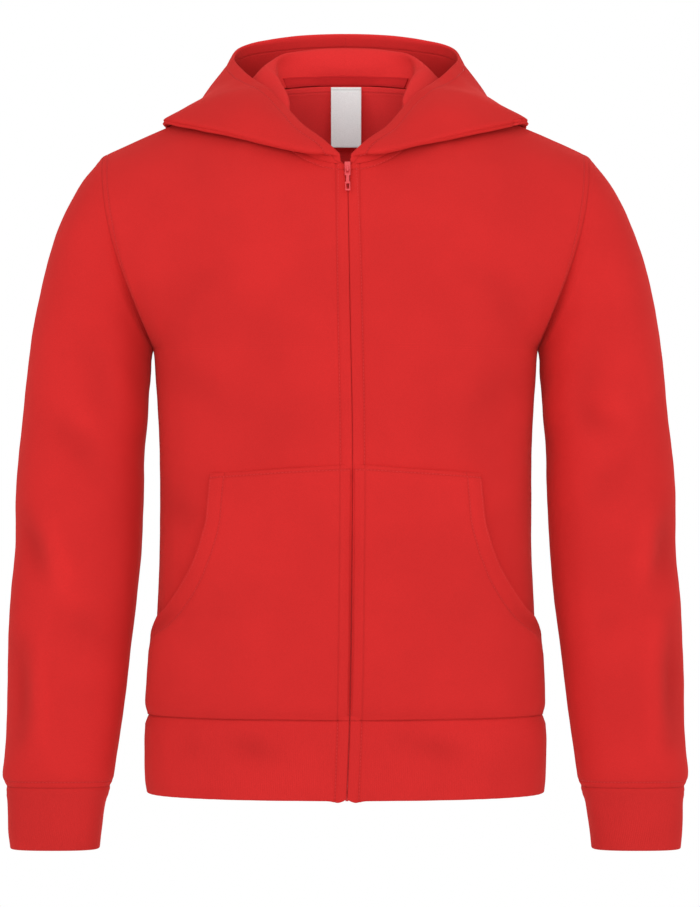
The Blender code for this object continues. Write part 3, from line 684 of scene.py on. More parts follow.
    def yoke_top(self, side: Side, face: Face, across: float) -> Vector:
        """The top edge of a front or back: the neckline, then the shoulder seam.

        Args:
            side: Which side.
            face: Front or back.
            across: From 0 at the middle to 1 at the armhole.

        Returns:
            The point.
        """
        if across <= self.neck_share + CLOSEST:
            share = min(across / self.neck_share, 1.0)
            return self.neck_point(side, share if face is Face.FRONT else 2 - share)
        share = (across - self.neck_share) / (1 - self.neck_share)
        tip = Vector(self.shoulder_tip)
        tip.x *= side.value
        spot = mix(self.neck_point(side, 1), tip, share)
        spot.z += self.shoulder_bow * sin(pi * share)
        return spot

    def yoke_point(self, side: Side, face: Face, across: float, up: float) -> Vector:
        """A point of a front or back above the armpit.

        Args:
            side: Which side.
            face: Front or back.
            across: From 0 at the middle to 1 at the armhole.
            up: From 0 at the armpit to 1 at the top edge.

        Returns:
            The point.
        """
        top = self.neck_front if face is Face.FRONT else self.nape
        height = mix(self.armpit, top, up)
        base = self.trunk_point(side, face, across, height)
        edge = self.armhole_point(side, face, up) - self.trunk_point(side, face, 1, height)
        corner = self.armhole_point(side, face, 1) - self.trunk_point(side, face, 1, top)
        pull = across**2
        rest = self.yoke_top(side, face, across) - self.trunk_point(side, face, across, top)
        rest -= corner * pull
        rest = Vector([part * up**power for part, power in zip(rest, self.yoke_powers)])
        return base + edge * pull + rest

    def fold_depth(self, along: float, heading: float) -> float:
        """How deep a sleeve's troughs are at a place.

        Args:
            along: How far down from the armhole.
            heading: The degrees round it.

        Returns:
            The depth.
        """
        depth = 0.0
        for fold in self.sleeve_folds:
            off = (heading - fold.heading + 180) % 360 - 180
            reach = ((along - fold.along) / fold.half_length) ** 2 + (off / fold.half_width) ** 2
            depth += fold.depth * float(np.exp(-reach))
        return depth

    def sleeve_point(self, side: Side, face: Face, along: float, turn: float) -> Vector:
        """A point of a sleeve.

        Args:
            side: Which side.
            face: Front or back.
            along: How far down from the armhole.
            turn: From 0 along its outer line to 1 under the arm.

        Returns:
            The point.
        """
        sizes = {name: self.sleeve.at(along, name) for name in self.sleeve.columns[1:]}
        outer = Vector((sizes["outer_x"], 0, sizes["outer_z"]))
        inner = Vector((sizes["inner_x"], 0, sizes["inner_z"]))
        middle, arm = (outer + inner) / 2, (outer - inner) / 2
        angle = pi * turn
        fade = max(1 - along / self.armhole_fade, 0.0) ** 2
        seam = self.armhole_point(Side.LEFT, face, 1 - turn)
        pit_x = self.trunk.at(self.armpit, "half_width")
        chord = pit_x + (self.shoulder_tip[0] - pit_x) * (1 + cos(angle)) / 2
        shrink = 1 - self.fold_depth(along, face.value * -180 * turn % 360) / arm.length
        held = min(along / self.fold_starts, 1.0) * unit((self.cuff_seam - along) / self.fold_ends)
        shrink = mix(1.0, shrink, held)
        roundness = mix(1.0, self.sleeve_roundness, min(along / self.round_from, 1.0))
        up = abs(cos(angle)) ** roundness * (1 if turn < 0.5 else -1)
        spot = middle + arm * up * shrink
        reach = sizes["depth"] * max(sin(angle), 0.0) ** roundness * shrink
        spot.y = sizes["y"] + face.value * reach
        spot.x += (seam.x - chord) * fade
        spot.y = mix(spot.y, seam.y, fade)
        spot.x *= side.value
        return spot

    def arm_point(self, side: Side, face: Face, up: float, along: float) -> Vector:
        """A point of a sleeve, where up runs from 0 under the arm to 1 along its outer line."""
        return self.sleeve_point(side, face, along, 1 - up)

    def front_point(self, side: Side, turn: float, height: float) -> Vector:
        """A point of a front's outer face.

        Args:
            side: Which side.
            turn: From 0 at the middle to 1 at the side seam or armhole.
            height: The height of its row.

        Returns:
            The point.
        """
        if height <= self.armpit:
            return self.trunk_point(side, Face.FRONT, turn, height)
        up = (height - self.armpit) / (self.neck_front - self.armpit)
        return self.yoke_point(side, Face.FRONT, turn, up)

    def front_spot(self, side: Side, across: float, height: float, depth: float) -> Vector:
        """A point behind a front's outer face.

        Args:
            side: Which side.
            across: How far it is to its side of the middle.
            height: Its z.
            depth: How far behind the face.

        Returns:
            The point.
        """
        turn = self.trunk_turn(side, height, across)
        spot = self.front_point(side, turn, height)
        down = self.front_point(side, turn, height - 1.0) - spot
        inward = down.cross(self.front_point(side, turn + 0.01, height) - spot).normalized()
        if inward.y < 0:
            inward.negate()
        return spot + inward * depth

    def zip_spot(self, height: float, depth: float, across: float = 0.0) -> Vector:
        """A point by the zip's line.

        Args:
            height: Its z.
            depth: How far behind the fronts' outer face.
            across: How far to the wearer's left of the line.

        Returns:
            The point.
        """
        front = self.trunk_point(Side.LEFT, Face.FRONT, 0.0, height)
        ahead = self.trunk_point(Side.LEFT, Face.FRONT, 0.0, height + 1.0) - front
        outward = Vector((0, -ahead.z, ahead.y)).normalized()
        return Vector((self.zip_x(height) + across, front.y, height)) - outward * depth

    @cached_property
    def seams(self) -> dict[str, KDTree]:
        """Closely set points along each seam and edge.

        Returns:
            A search tree in metres for each.
        """
        lines: dict[str, list[Vector]] = {name: [] for name in SEAM_LAYERS}
        for side in Side:
            for share in shares(SEAM_STEPS):
                height = mix(self.hem, self.neck_front, share)
                beside = mix(self.hem, self.armpit, share)
                across = mix(self.neck_share + 1e-4, 1.0, share)
                along = share * self.cuff_seam
                lines["from_zip"].append(self.front_point(side, 0.0, height))
                lines["from_side"].append(self.trunk_point(side, Face.FRONT, 1.0, beside))
                for turn in (share, 1 + share):
                    lines["from_neck"].append(self.neck_point(side, turn))
                lines["from_shoulder"].append(self.yoke_top(side, Face.FRONT, across))
                lines["from_underarm"].append(self.sleeve_point(side, Face.FRONT, along, 1.0))
                for face in Face:
                    trunk = partial(self.trunk_point, side, face, share)
                    arm = partial(self.arm_point, side, face, 1 - share)
                    lines["from_waist"].append(trunk(self.waist_seam))
                    lines["from_cuff"].append(arm(self.cuff_seam))
                    lines["from_end"] += [trunk(self.hem), arm(self.cuff_end)]
                    lines["from_armhole"].append(self.armhole_point(side, face, share))
        return {name: search_tree(points) for name, points in lines.items()}


@dataclass(frozen=True)
class HoodSection:
    """One section through the hood let down behind the neck, from its stand to its rim."""

    turn: float
    stand: tuple[float, float, float]
    roll: tuple[float, float, float]
    inner: tuple[float, float, float]
    fold: tuple[float, float, float]
    thickness: float
    outer: tuple[float, float, float]
    rim: tuple[float, float, float]


@dataclass
class HoodForm:
    """The hood's form: it stands up from the neck seam, rolls over, and hangs as a bag."""

    body: BodyForm
    lift: float = 0.3  # how far above the neck seam it starts
    end_lift: float = -0.2  # the same at its front ends
    fold_corner: tuple[float, float] = (0.45, 0.5)  # how far out and across, in thicknesses
    sections: tuple[HoodSection, ...] = (
        HoodSection(0.02, (3.9, -62.4, -64.6), (4.0, -62.6, -63.2), (4.2, -62.8, -62.0),
                    (4.4, -62.9, -61.0), 0.8, (4.7, -62.6, -59.8), (5.0, -62.2, -58.8)),
        HoodSection(0.13, (14.8, -61.4, -62.2), (14.2, -61.8, -59.4), (14.8, -63.2, -58.2),
                    (15.6, -64.8, -59.2), 2.3, (13.0, -64.4, -55.8), (10.8, -62.4, -53.4)),
        HoodSection(0.25, (25.4, -58.4, -58.4), (25.0, -60.2, -56.2), (26.8, -63.4, -56.6),
                    (29.5, -66.6, -58.6), 4.2, (25.0, -64.8, -50.4), (19.5, -57.5, -46.0)),
        HoodSection(0.42, (41.4, -47.2, -47.2), (40.2, -48.6, -44.5), (46.5, -53.0, -46.2),
                    (56.0, -54.5, -51.8), 5.0, (45.5, -54.0, -40.3), (33.5, -46.0, -35.5)),
        HoodSection(0.64, (52.0, -28.6, -29.0), (46.0, -29.0, -26.0), (64.0, -31.0, -26.8),
                    (94.0, -38.5, -41.5), 5.5, (70.0, -36.0, -20.5), (47.5, -27.5, -19.0)),
        HoodSection(0.84, (55.0, -9.5, -14.0), (47.5, -12.0, -10.5), (78.0, -10.5, -12.0),
                    (126.0, -20.5, -33.4), 5.0, (88.0, -15.5, -8.5), (60.0, -15.5, -5.7)),
        HoodSection(1.06, (56.0, 11.0, 0.0), (58.5, 14.0, 9.5), (83.0, 8.5, -7.6),
                    (142.5, -3.0, -29.3), 3.6, (104.5, 2.0, -6.5), (71.5, 2.5, 3.3)),
        HoodSection(1.28, (56.5, 24.0, 11.0), (66.0, 29.0, 17.0), (84.0, 32.5, 0.5),
                    (138.0, 34.0, -36.5), 6.0, (110.5, 33.0, -3.5), (83.5, 23.0, 14.7)),
        HoodSection(1.50, (56.0, 44.0, 18.0), (54.0, 49.0, 28.0), (82.0, 70.0, -16.0),
                    (127.0, 80.0, -76.0), 11.0, (115.0, 78.0, -3.0), (92.0, 55.0, 28.0)),
        HoodSection(1.74, (40.0, 56.0, 20.0), (38.0, 63.0, 31.5), (54.0, 84.0, -26.0),
                    (84.0, 101.0, -106.0), 13.0, (95.0, 119.0, -20.0), (83.5, 79.0, 40.2)),
        HoodSection(1.88, (22.0, 58.0, 22.0), (20.0, 69.5, 32.0), (30.0, 92.6, -62.0),
                    (46.0, 104.0, -119.0), 15.0, (52.0, 133.0, -36.0), (47.0, 88.5, 48.4)),
        HoodSection(2.00, (0.0, 59.5, 23.0), (0.0, 72.0, 32.5), (0.0, 94.0, -66.0),
                    (0.0, 105.0, -126.0), 15.0, (0.0, 136.0, -40.0), (0.0, 90.8, 51.0)),
    )

    @property
    def last(self) -> int:
        """The place of the nape's section."""
        return len(self.sections) - 1

    def lines(self, side: Side, section: HoodSection) -> list[Vector]:
        """The points that a section runs through.

        Args:
            side: Which side.
            section: The section.

        Returns:
            The points from the neck seam to the rim.
        """
        lift = mix(self.end_lift, self.lift, min(section.turn * 2, 1.0))
        seam = self.body.neck_point(side, section.turn) + Vector((0, 0, lift))
        stand, roll, inner, fold, outer, rim = (
            Vector((side.value * x, y, z))
            for x, y, z in (
                section.stand, section.roll, section.inner,
                section.fold, section.outer, section.rim,
            )
        )
        away = (fold - inner).normalized()
        across = (outer - fold) - away * (outer - fold).dot(away)
        across.normalize()
        out, over = (share * section.thickness for share in self.fold_corner)
        turned = fold + away * out + across * over
        end = fold + across * section.thickness
        return [seam, stand, roll, inner, fold, turned, end, outer, rim]

    @cached_property
    def tables(self) -> dict[Side, list[list[Vector]]]:
        """Each side's sections, with the other side's next one past the nape.

        Returns:
            The points of each section.
        """
        made = {}
        for side, other in ((Side.LEFT, Side.RIGHT), (Side.RIGHT, Side.LEFT)):
            made[side] = [self.lines(side, section) for section in self.sections]
            made[side].append(self.lines(other, self.sections[-2]))
        return made

    @staticmethod
    def through(points: Sequence[Vector], place: float) -> Vector:
        """Reads the smooth curve through some points.

        Args:
            points: The points.
            place: Where to read it, counted in points.

        Returns:
            The point there.
        """
        start = min(int(place), len(points) - 2)
        before, after = points[max(start - 1, 0)], points[min(start + 2, len(points) - 1)]
        here, there = points[start], points[start + 1]
        return curve(here, there, (there - before) / 2, (after - here) / 2, place - start)

    def point(self, side: Side, place: float, across: float) -> Vector:
        """A point of the hood.

        Args:
            side: Which side.
            place: The section, counted from the front.
            across: From 0 at the neck seam to 1 at the rim.

        Returns:
            The point.
        """
        lines = self.tables[side]
        first = max(min(int(place), len(lines) - 2) - 1, 0)
        nearby = lines[first : first + 4]
        section = [self.through(line, place - first) for line in zip(*nearby)]
        return self.through(section, across * (len(section) - 1))


# ---- cloth


@dataclass(frozen=True)
class Crease:
    """A soft trough along a line drawn in the front view, or a ridge where depth is negative."""

    face: Face
    start: tuple[float, float]
    end: tuple[float, float]
    width: float
    depth: float
    bow: float = 0.0
    end_share: float = 0.45  # how deep it is at its ends, as a share of its middle
    facing: float = 0.35  # it is whole on cloth whose normal points its way this much or more

    def on(self, side: Side) -> "Crease":
        """The same crease on a side, where this one is drawn for the wearer's left."""
        ends = ((side.value * x, z) for x, z in (self.start, self.end))
        return replace(self, **dict(zip(("start", "end"), ends)))

    def lift(self, spots: np.ndarray, normals: np.ndarray) -> np.ndarray:
        """How far the crease moves each spot along its normal.

        Args:
            spots: The cloth's points in millimetres, one a row.
            normals: Their normals.

        Returns:
            The moves in millimetres.
        """
        start, end = np.array(self.start), np.array(self.end)
        run = end - start
        length = float(np.hypot(*run)) or 1.0
        way = run / length
        flat = spots[:, (0, 2)] - start
        along = flat @ way / length
        held = np.clip(along, 0.0, 1.0)
        off = flat @ np.array((-way[1], way[0])) - self.bow * 4 * held * (1 - held)
        over = (along - held) * length
        near = np.exp(-(off**2 + over**2) / self.width**2)
        fade = mix(self.end_share, 1.0, np.sin(pi * held)) if length > self.width else 1.0
        facing = np.clip(normals[:, 1] * self.face.value / self.facing, 0.0, 1.0)
        return -self.depth * near * fade * facing


@dataclass(frozen=True)
class Relief:
    """A ridge beside a seam or edge, or a groove where its height is negative."""

    line: str
    height: float
    place: float
    width: float

    def lift(self, away: dict[str, np.ndarray]) -> np.ndarray:
        """How far it moves the cloth, by the distances from each line."""
        return self.height * bell(away[self.line], self.place, self.width)


LEAST_WAVE = 0.15  # what is left of the waves and folds at an edge
WAVES = 7
WAVES_HEIGHT = 3.5  # about how high they stand together


def ripple(spots: np.ndarray, reach: float, seed: int) -> np.ndarray:
    """Even, slow waves that keep cloth from looking flat.

    Args:
        spots: The cloth's points in millimetres, one a row.
        reach: About how far apart the waves are.
        seed: Which set of waves.

    Returns:
        The waves, from about -1 to 1.
    """
    chance = np.random.default_rng(seed)
    total = np.zeros(len(spots))
    for _ in range(WAVES):
        way = chance.normal(size=3)
        way *= 2 * pi / (reach * chance.uniform(0.7, 1.6)) / np.linalg.norm(way)
        total += np.sin(spots @ way + chance.uniform(0, 2 * pi))
    return total / WAVES_HEIGHT


@dataclass(frozen=True)
class Cut:
    """One cloth piece: its wall, where it is sewn, and the size it was cut to in metres.

    Each row of stitches is given by a line and the distance from it. Seams are the lines where it
    is sunk, and free ones are edges where its wall rounds off.
    """

    node: str
    finish: Textile
    slot: str
    thickness: float
    flat: tuple[float, float]
    area: float
    held: str = "draped"
    rows: tuple[tuple[str, float], ...] = ()
    seams: tuple[str, ...] = ()
    free: tuple[str, ...] = ()
    rests_on: tuple[str, ...] = ()
    back: Textile | None = None


@dataclass
class Skin:
    """One surface, laid out in patches that meet along their seams."""

    maker: Maker = field(default_factory=bmesh.new)

    def __post_init__(self) -> None:
        """Gives the surface its layers."""
        self.maker.faces.layers.int.new("piece")
        self.maker.loops.layers.uv.new("cloth")
        for name in (*PATCH_LAYERS, *SEAM_LAYERS, *ROW_LAYERS, "seam", "trough", "from_mouth"):
            self.maker.verts.layers.float.new(name)

    def add_patch(
        self, piece: int, across: Sequence[float], along: Sequence[float], place: Place
    ) -> None:
        """Adds a grid for one piece, with its cloth laid out flat on its own map.

        Args:
            piece: The piece's number.
            across: The places of its columns.
            along: The places of its rows.
            place: Gives the point at a column's and a row's place.
        """
        columns, rows = len(across) - 1, len(along) - 1
        grid = bmesh.ops.create_grid(self.maker, x_segments=columns, y_segments=rows, size=0.5)
        spots = np.zeros((columns + 1, rows + 1, 3))
        cells = {}
        for vert in grid["verts"]:
            cell = round((vert.co.x + 0.5) * columns), round((vert.co.y + 0.5) * rows)
            vert.co = place(across[cell[0]], along[cell[1]]) * MM
            cells[vert] = cell
            spots[cell] = vert.co
        run, rise = np.zeros((2, columns + 1, rows + 1))
        run[1:] = np.cumsum(np.linalg.norm(np.diff(spots, axis=0), axis=2), axis=0)
        rise[:, 1:] = np.cumsum(np.linalg.norm(np.diff(spots, axis=1), axis=2), axis=1)
        far = dict(zip(PATCH_LAYERS, (run, run[-1] - run, rise, rise[:, -1:] - rise)))
        for name, distances in far.items():
            layer = self.maker.verts.layers.float[name]
            for vert, cell in cells.items():
                vert[layer] = distances[cell]
        number = self.maker.faces.layers.int["piece"]
        cloth = self.maker.loops.layers.uv["cloth"]
        for face in {face for vert in grid["verts"] for face in vert.link_faces}:
            face[number] = piece
            for loop in face.loops:
                column, row = cells[loop.vert]
                loop[cloth].uv = run[column, row], rise[column, row]

    def close(self, outward: Vector) -> None:
        """Joins the patches along their seams and turns every face to the outer side.

        Args:
            outward: A direction in which the outermost face looks out.
        """
        bmesh.ops.remove_doubles(self.maker, verts=self.maker.verts, dist=SAME_SPOT * MM)
        bmesh.ops.recalc_face_normals(self.maker, faces=self.maker.faces)
        face = max(self.maker.faces, key=lambda face: face.calc_center_median().dot(outward))
        if face.normal.dot(outward) < 0:
            bmesh.ops.reverse_faces(self.maker, faces=self.maker.faces)
        self.maker.normal_update()

    def measure(self, trees: dict[str, KDTree]) -> None:
        """Notes how far each corner is from some lines.

        Args:
            trees: A search tree for each, by the name of its layer.
        """
        for name, tree in trees.items():
            layer = self.maker.verts.layers.float[name]
            for vert in self.maker.verts:
                vert[layer] = tree.find(vert.co)[2]

    def values(self, name: str) -> np.ndarray:
        """A layer's distances in millimetres."""
        layer = self.maker.verts.layers.float[name]
        return np.array([vert[layer] for vert in self.maker.verts]) / MM

    @property
    def spots(self) -> np.ndarray:
        """The corners in millimetres."""
        return np.array([vert.co for vert in self.maker.verts]) / MM

    @property
    def normals(self) -> np.ndarray:
        """The corners' normals."""
        return np.array([vert.normal for vert in self.maker.verts])

    def mark_folds(self, folds: np.ndarray) -> None:
        """Notes how deep the folds are, for the painted shade in them and the painted light on their
        ridges.

        Args:
            folds: The depth at each corner in millimetres.
        """
        layer = self.maker.verts.layers.float["trough"]
        for vert, depth in zip(list(self.maker.verts), folds):
            vert[layer] = float(depth)

    def soften(self, chosen: np.ndarray, times: int) -> None:
        """Evens out the chosen corners.

        Args:
            chosen: Whether each corner takes part.
            times: How often they move halfway to their neighbours.
        """
        verts = [vert for vert in compress(self.maker.verts, chosen) if not vert.is_boundary]
        for _ in range(times):
            bmesh.ops.smooth_vert(
                self.maker, verts=verts, factor=0.5,
                use_axis_x=True, use_axis_y=True, use_axis_z=True,
            )
        self.maker.normal_update()

    def lift(self, moves: np.ndarray) -> None:
        """Moves each corner along its normal.

        Args:
            moves: How far each goes, in millimetres.
        """
        for vert, move in zip(list(self.maker.verts), moves):
            vert.co += vert.normal * float(move) * MM
        self.maker.normal_update()

    @cached_property
    def tree(self) -> BVHTree:
        """The finished surface, for things that lie on it."""
        return BVHTree.FromBMesh(self.maker)

    def cut(
        self,
        piece: int,
        plan: Cut,
        round_by: float = 1.5,
        share: Callable[[Vector], float] | None = None,
        shift: float = 0.0,
    ) -> bpy.types.Object:
        """Cuts one piece out and gives it its wall, inwards.

        Args:
            piece: The piece's number.
            plan: Its wall, rows of stitches and cut.
            round_by: How far from a free edge the wall starts to round off.
            share: How much of its thickness the wall has at a spot, where that varies.
            shift: How far above the surface the wall's outer side lies.

        Returns:
            The piece.
        """
        maker = self.maker.copy()
        way = {vert: vert.normal.copy() for vert in maker.verts}
        number = maker.faces.layers.int["piece"]
        other = [face for face in maker.faces if face[number] != piece]
        bmesh.ops.delete(maker, geom=other, context="FACES")
        layer = maker.verts.layers.float
        thin = {}
        for vert in maker.verts:
            for name, (line, offset) in zip(ROW_LAYERS, plan.rows):
                vert[layer[name]] = vert[layer[line]] - offset * MM
            for name in ROW_LAYERS[len(plan.rows) :]:
                vert[layer[name]] = FAR
            vert[layer["seam"]] = min((vert[layer[name]] for name in plan.seams), default=FAR)
            part = share(vert.co / MM) if share else 1.0
            edge = min((vert[layer[name]] for name in plan.free), default=FAR) / (round_by * MM)
            left = (1 - (1 - min(edge, 1.0)) ** 2) ** 0.5
            thin[vert] = plan.thickness * MM * part * mix(EDGE_SHARE, 1.0, left)
            sink = (plan.thickness * MM * part - thin[vert]) / 2
            vert.co += way[vert] * (shift * MM * part - sink)
        # The extrusion leaves the first faces where they are, turned round, as the inner side.
        corners, inner = list(maker.verts), list(maker.faces)
        bmesh.ops.extrude_face_region(maker, geom=inner, use_keep_orig=True)
        for vert in corners:
            vert.co -= way[vert] * thin[vert]
        if plan.back:
            for face in inner:
                face.material_index = 1
        return sew_sheet(maker, plan)


def add_object(name: str, data: bpy.types.ID) -> bpy.types.Object:
    """Adds an object to the scene.

    Args:
        name: Its name.
        data: Its mesh, light or camera.

    Returns:
        The object.
    """
    added = bpy.data.objects.new(name, data)
    bpy.context.scene.collection.objects.link(added)
    return added


def new_mesh(name: str, maker: Maker, *finishes: Textile | Gloss) -> bpy.types.Mesh:
    """Makes a mesh of a bmesh.

    Args:
        name: Its name.
        maker: The bmesh, which is freed.
        *finishes: What it is made of.

    Returns:
        The mesh.
    """
    mesh = bpy.data.meshes.new(name)
    maker.to_mesh(mesh)
    maker.free()
    for finish in finishes:
        mesh.materials.append(finish.material)
    return mesh


def add_block(
    maker: Maker, middle: Vector, size: Sequence[float], bevel: float, segments: int
) -> None:
    """Adds a block with bevelled edges.

    Args:
        maker: The mesh to add it to.
        middle: Its middle.
        size: How wide, deep and high it is.
        bevel: How wide its bevels are.
        segments: How many faces each of them has.
    """
    scale = Matrix.Diagonal((*(length * MM for length in size), 1))
    cube = bmesh.ops.create_cube(maker, size=1.0, matrix=Matrix.Translation(middle * MM) @ scale)
    edges = {edge for vert in cube["verts"] for edge in vert.link_edges}
    bmesh.ops.bevel(
        maker, geom=list(edges), offset=bevel * MM, affect="EDGES", segments=segments, profile=0.5,
        material=-1,
    )


def new_piece(
    name: str,
    maker: Maker,
    finish: Textile | Gloss,
    nodes: Sequence[str] = (),
    back: Textile | None = None,
) -> bpy.types.Object:
    """Makes an object of a bmesh, dresses it and lets it ride on the garment.

    Args:
        name: The piece's name.
        maker: Its mesh, which is freed.
        finish: What it is made of.
        nodes: The solids that it stands for.
        back: What its faces of the second material are made of.

    Returns:
        The object.
    """
    mesh = new_mesh(name, maker, finish, *([back] if back else ()))
    mesh.shade_smooth()
    piece = add_object(name, mesh)
    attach(piece, "garment")
    if nodes:
        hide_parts(*nodes)
    log.info("%s: %d faces", name, len(mesh.polygons))
    return piece


def repeat_piece(
    name: str, shape: Maker, places: Sequence[Matrix], finish: Gloss
) -> bpy.types.Object:
    """Makes one piece of a small shape set at many places.

    Args:
        name: The piece's name.
        shape: The small shape, which is freed.
        places: Where it is set.
        finish: What it is made of.

    Returns:
        The object.
    """
    shape.verts.index_update()
    corners = np.array([(*vert.co, 1.0) for vert in shape.verts])
    faces = [[vert.index for vert in face.verts] for face in shape.faces]
    shape.free()
    spots = np.concatenate([corners @ np.array(place).T for place in places])[:, :3]
    starts = [len(corners) * copy for copy in range(len(places))]
    every = [[start + index for index in face] for start in starts for face in faces]
    mesh = bpy.data.meshes.new(f"{name}_copies")
    mesh.from_pydata(spots.tolist(), [], every)
    maker = bmesh.new()
    maker.from_mesh(mesh)
    bpy.data.meshes.remove(mesh)
    return new_piece(name, maker, finish)


def sew_sheet(maker: Maker, plan: Cut) -> bpy.types.Object:
    """Args:
        maker: Its closed wall, which is freed.
        plan: Its cut.

    Returns:
        The piece.
    """
    surface = sum(face.calc_area() for face in maker.faces) / 2
    piece = new_piece(f"{plan.node}_cloth", maker, plan.finish, [plan.node], plan.back)
    log.info("%s: %.4f square metres, cut %.4f", plan.node, surface, plan.area)
    return piece


@dataclass(frozen=True)
class Stitching:
    """Rows of short rounded stitches lying on cloth."""

    length: float = 2.2
    pitch: float = 2.9
    radius: float = 0.27
    set_in: float = 0.08

    def sew(self, name: str, rows: Iterable[Sequence[Vector]], cloth: BVHTree) -> bpy.types.Object:
        """Sews rows of stitches along lines.

        Args:
            name: The piece's name.
            rows: The lines, each as points in millimetres.
            cloth: The surface that they lie on.

        Returns:
            The stitches, as one piece.
        """
        places = []
        for points in rows:
            spots = [cloth.find_nearest(point * MM)[:2] for point in points]
            travelled, due = 0.0, self.pitch / 2
            for (start, up), (end, _) in zip(spots, spots[1:]):
                run = end - start
                length = run.length / MM
                while length and due <= travelled + length:
                    middle = start + run * ((due - travelled) / length)
                    along = run.normalized()
                    side = up.cross(along).normalized()
                    turn = Matrix((along, side, along.cross(side))).transposed().to_4x4()
                    lift = Matrix.Translation(middle - up * self.set_in * MM)
                    places.append(lift @ turn @ Matrix.Scale(MM, 4))
                    due += self.pitch
                travelled += length
        shape = bmesh.new()
        bmesh.ops.create_uvsphere(
            shape, u_segments=6, v_segments=4, radius=1.0, matrix=Matrix.Rotation(pi / 2, 4, "Y")
        )
        bmesh.ops.scale(shape, verts=shape.verts, vec=(self.length / 2, self.radius, self.radius))
        return repeat_piece(name, shape, places, THREAD)


# ---- body


SEAM_ROWS = (0.7, 1.5, 2.5, 3.6, 4.5, 5.4, 6.6, 8.4)
EDGE_ROWS = (0.35, 0.8, 1.4, 2.3, 3.6)
ZIP_COLUMNS = (*EDGE_ROWS, 5.2, 6.4, 7.2, 7.9, 8.6, 9.6, 11.2, 13.6)
SIDE_TURNS = (0.003, 0.007, 0.012, 0.019, 0.028, 0.038)
ARMPIT_ROWS = (1.0, 2.2)
ARMPIT_RISES = (0.008,)
TOP_RISES = (0.004, 0.009, 0.015, 0.022, 0.03, 0.04, 0.052)


CREASES = {
    Face.FRONT: (
        # the body, from under the arms towards the middle and over the pockets
        ((-150, -232), (-92, -262), 16, 2.2, 4), ((150, -236), (96, -270), 16, 2.0, -4),
        ((-140, -205), (-100, -150), 15, 1.6, 6), ((140, -205), (104, -152), 15, 1.6, -6),
        ((-70, -200), (-60, -300), 24, 1.2, 5), ((60, -220), (74, -300), 24, 1.2, 0),
        ((-148, -470), (-110, -440), 14, 1.6), ((148, -470), (112, -446), 14, 1.6),
        ((-141, -334), (-119, -356), 12, 2.0), ((-151, -426), (-144, -443), 9, 1.8),
        # the waistband
        ((-90, -527), (-60, -536), 10, 2.6), ((48, -525), (90, -537), 10, 2.5),
        ((-130, -545), (-118, -520), 12, 1.2),
        # the sleeves
        ((-258, -352), (-242, -392), 11, 4.4), ((-238, -358), (-222, -410), 10, -2.8),
        ((262, -348), (252, -398), 11, 4.0), ((244, -350), (236, -402), 10, -2.6),
        ((-262, -452), (-262, -526), 9, 4.0, 2), ((-245, -449), (-243, -530), 9, -2.2),
        ((264, -430), (264, -526), 9, 4.0, -2), ((246, -436), (246, -532), 9, -2.2),
        ((-205, -210), (-194, -272), 14, 2.4, 3), ((-219, -272), (-200, -318), 12, 1.8),
        ((200, -206), (192, -268), 14, 2.2, -3), ((224, -300), (206, -330), 14, 1.8),
        ((-222, -430), (-196, -444), 12, 1.4), ((222, -424), (198, -440), 12, 1.4),
        ((-236, -270), (-216, -293), 11, 2.0), ((-218, -262), (-200, -284), 11, -1.4),
        ((186, -260), (210, -281), 11, 2.0), ((204, -254), (226, -272), 11, -1.4),
    ),
    Face.BACK: (
        # the body
        ((-140, -210), (-84, -250), 18, 3.0, 4), ((142, -214), (90, -262), 18, 3.0, -4),
        ((-120, -330), (-30, -362), 22, 2.4, -8), ((118, -352), (40, -378), 22, 2.2, 8),
        ((-30, -440), (40, -452), 20, 2.0, 6), ((-140, -480), (-84, -462), 15, 2.0),
        ((140, -478), (92, -466), 15, 2.0),
        # the sleeves
        ((-250, -300), (-200, -330), 13, 2.6, 5), ((250, -310), (202, -336), 13, 2.6, -5),
        ((-255, -400), (-205, -418), 12, 2.2, 4), ((255, -392), (208, -420), 12, 2.2, -4),
        ((-262, -500), (-212, -512), 11, 1.8), ((262, -496), (214, -514), 11, 1.8),
    ),
}


@dataclass(frozen=True)
class ArmholeRelief:
    """The armhole's groove and puff, which grow down the arm and fade where it faces sideways."""

    grows_from: float = -120.0
    grows_over: float = 60.0
    facing: float = 0.5
    groove: tuple[float, float] = (0.3, 2.0)
    groove_width: tuple[float, float] = (1.8, 3.2)
    side_loss: float = 0.9
    puff: tuple[float, float] = (0.2, 0.6)
    puff_place: float = 7.0
    puff_width: float = 4.0
    parting: float = 1.4  # how far the sleeve and the side part under the arm
    parting_near: float = 6.0
    parting_far: float = 22.0

    def lift(self, spots: np.ndarray, normals: np.ndarray, away: np.ndarray) -> np.ndarray:
        """How far it moves each spot along its normal.

        Args:
            spots: The cloth's points in millimetres, one a row.
            normals: Their normals.
            away: How far they are from the armhole.

        Returns:
            The moves in millimetres.
        """
        low = np.clip((self.grows_from - spots[:, 2]) / self.grows_over, 0.0, 1.0)
        ahead = np.clip(np.abs(normals[:, 1]) / self.facing, 0.0, 1.0)
        groove = mix(*self.groove, low) * (1 - self.side_loss * low * (1 - ahead))
        puff = mix(*self.puff, low) * bell(away, self.puff_place, self.puff_width)
        near, far = (bell(away, 0.0, width) for width in (self.parting_near, self.parting_far))
        parting = self.parting * (1 - near) * far * low * (1 - ahead)
        return puff * ahead - groove * bell(away, 0.0, mix(*self.groove_width, low)) - parting


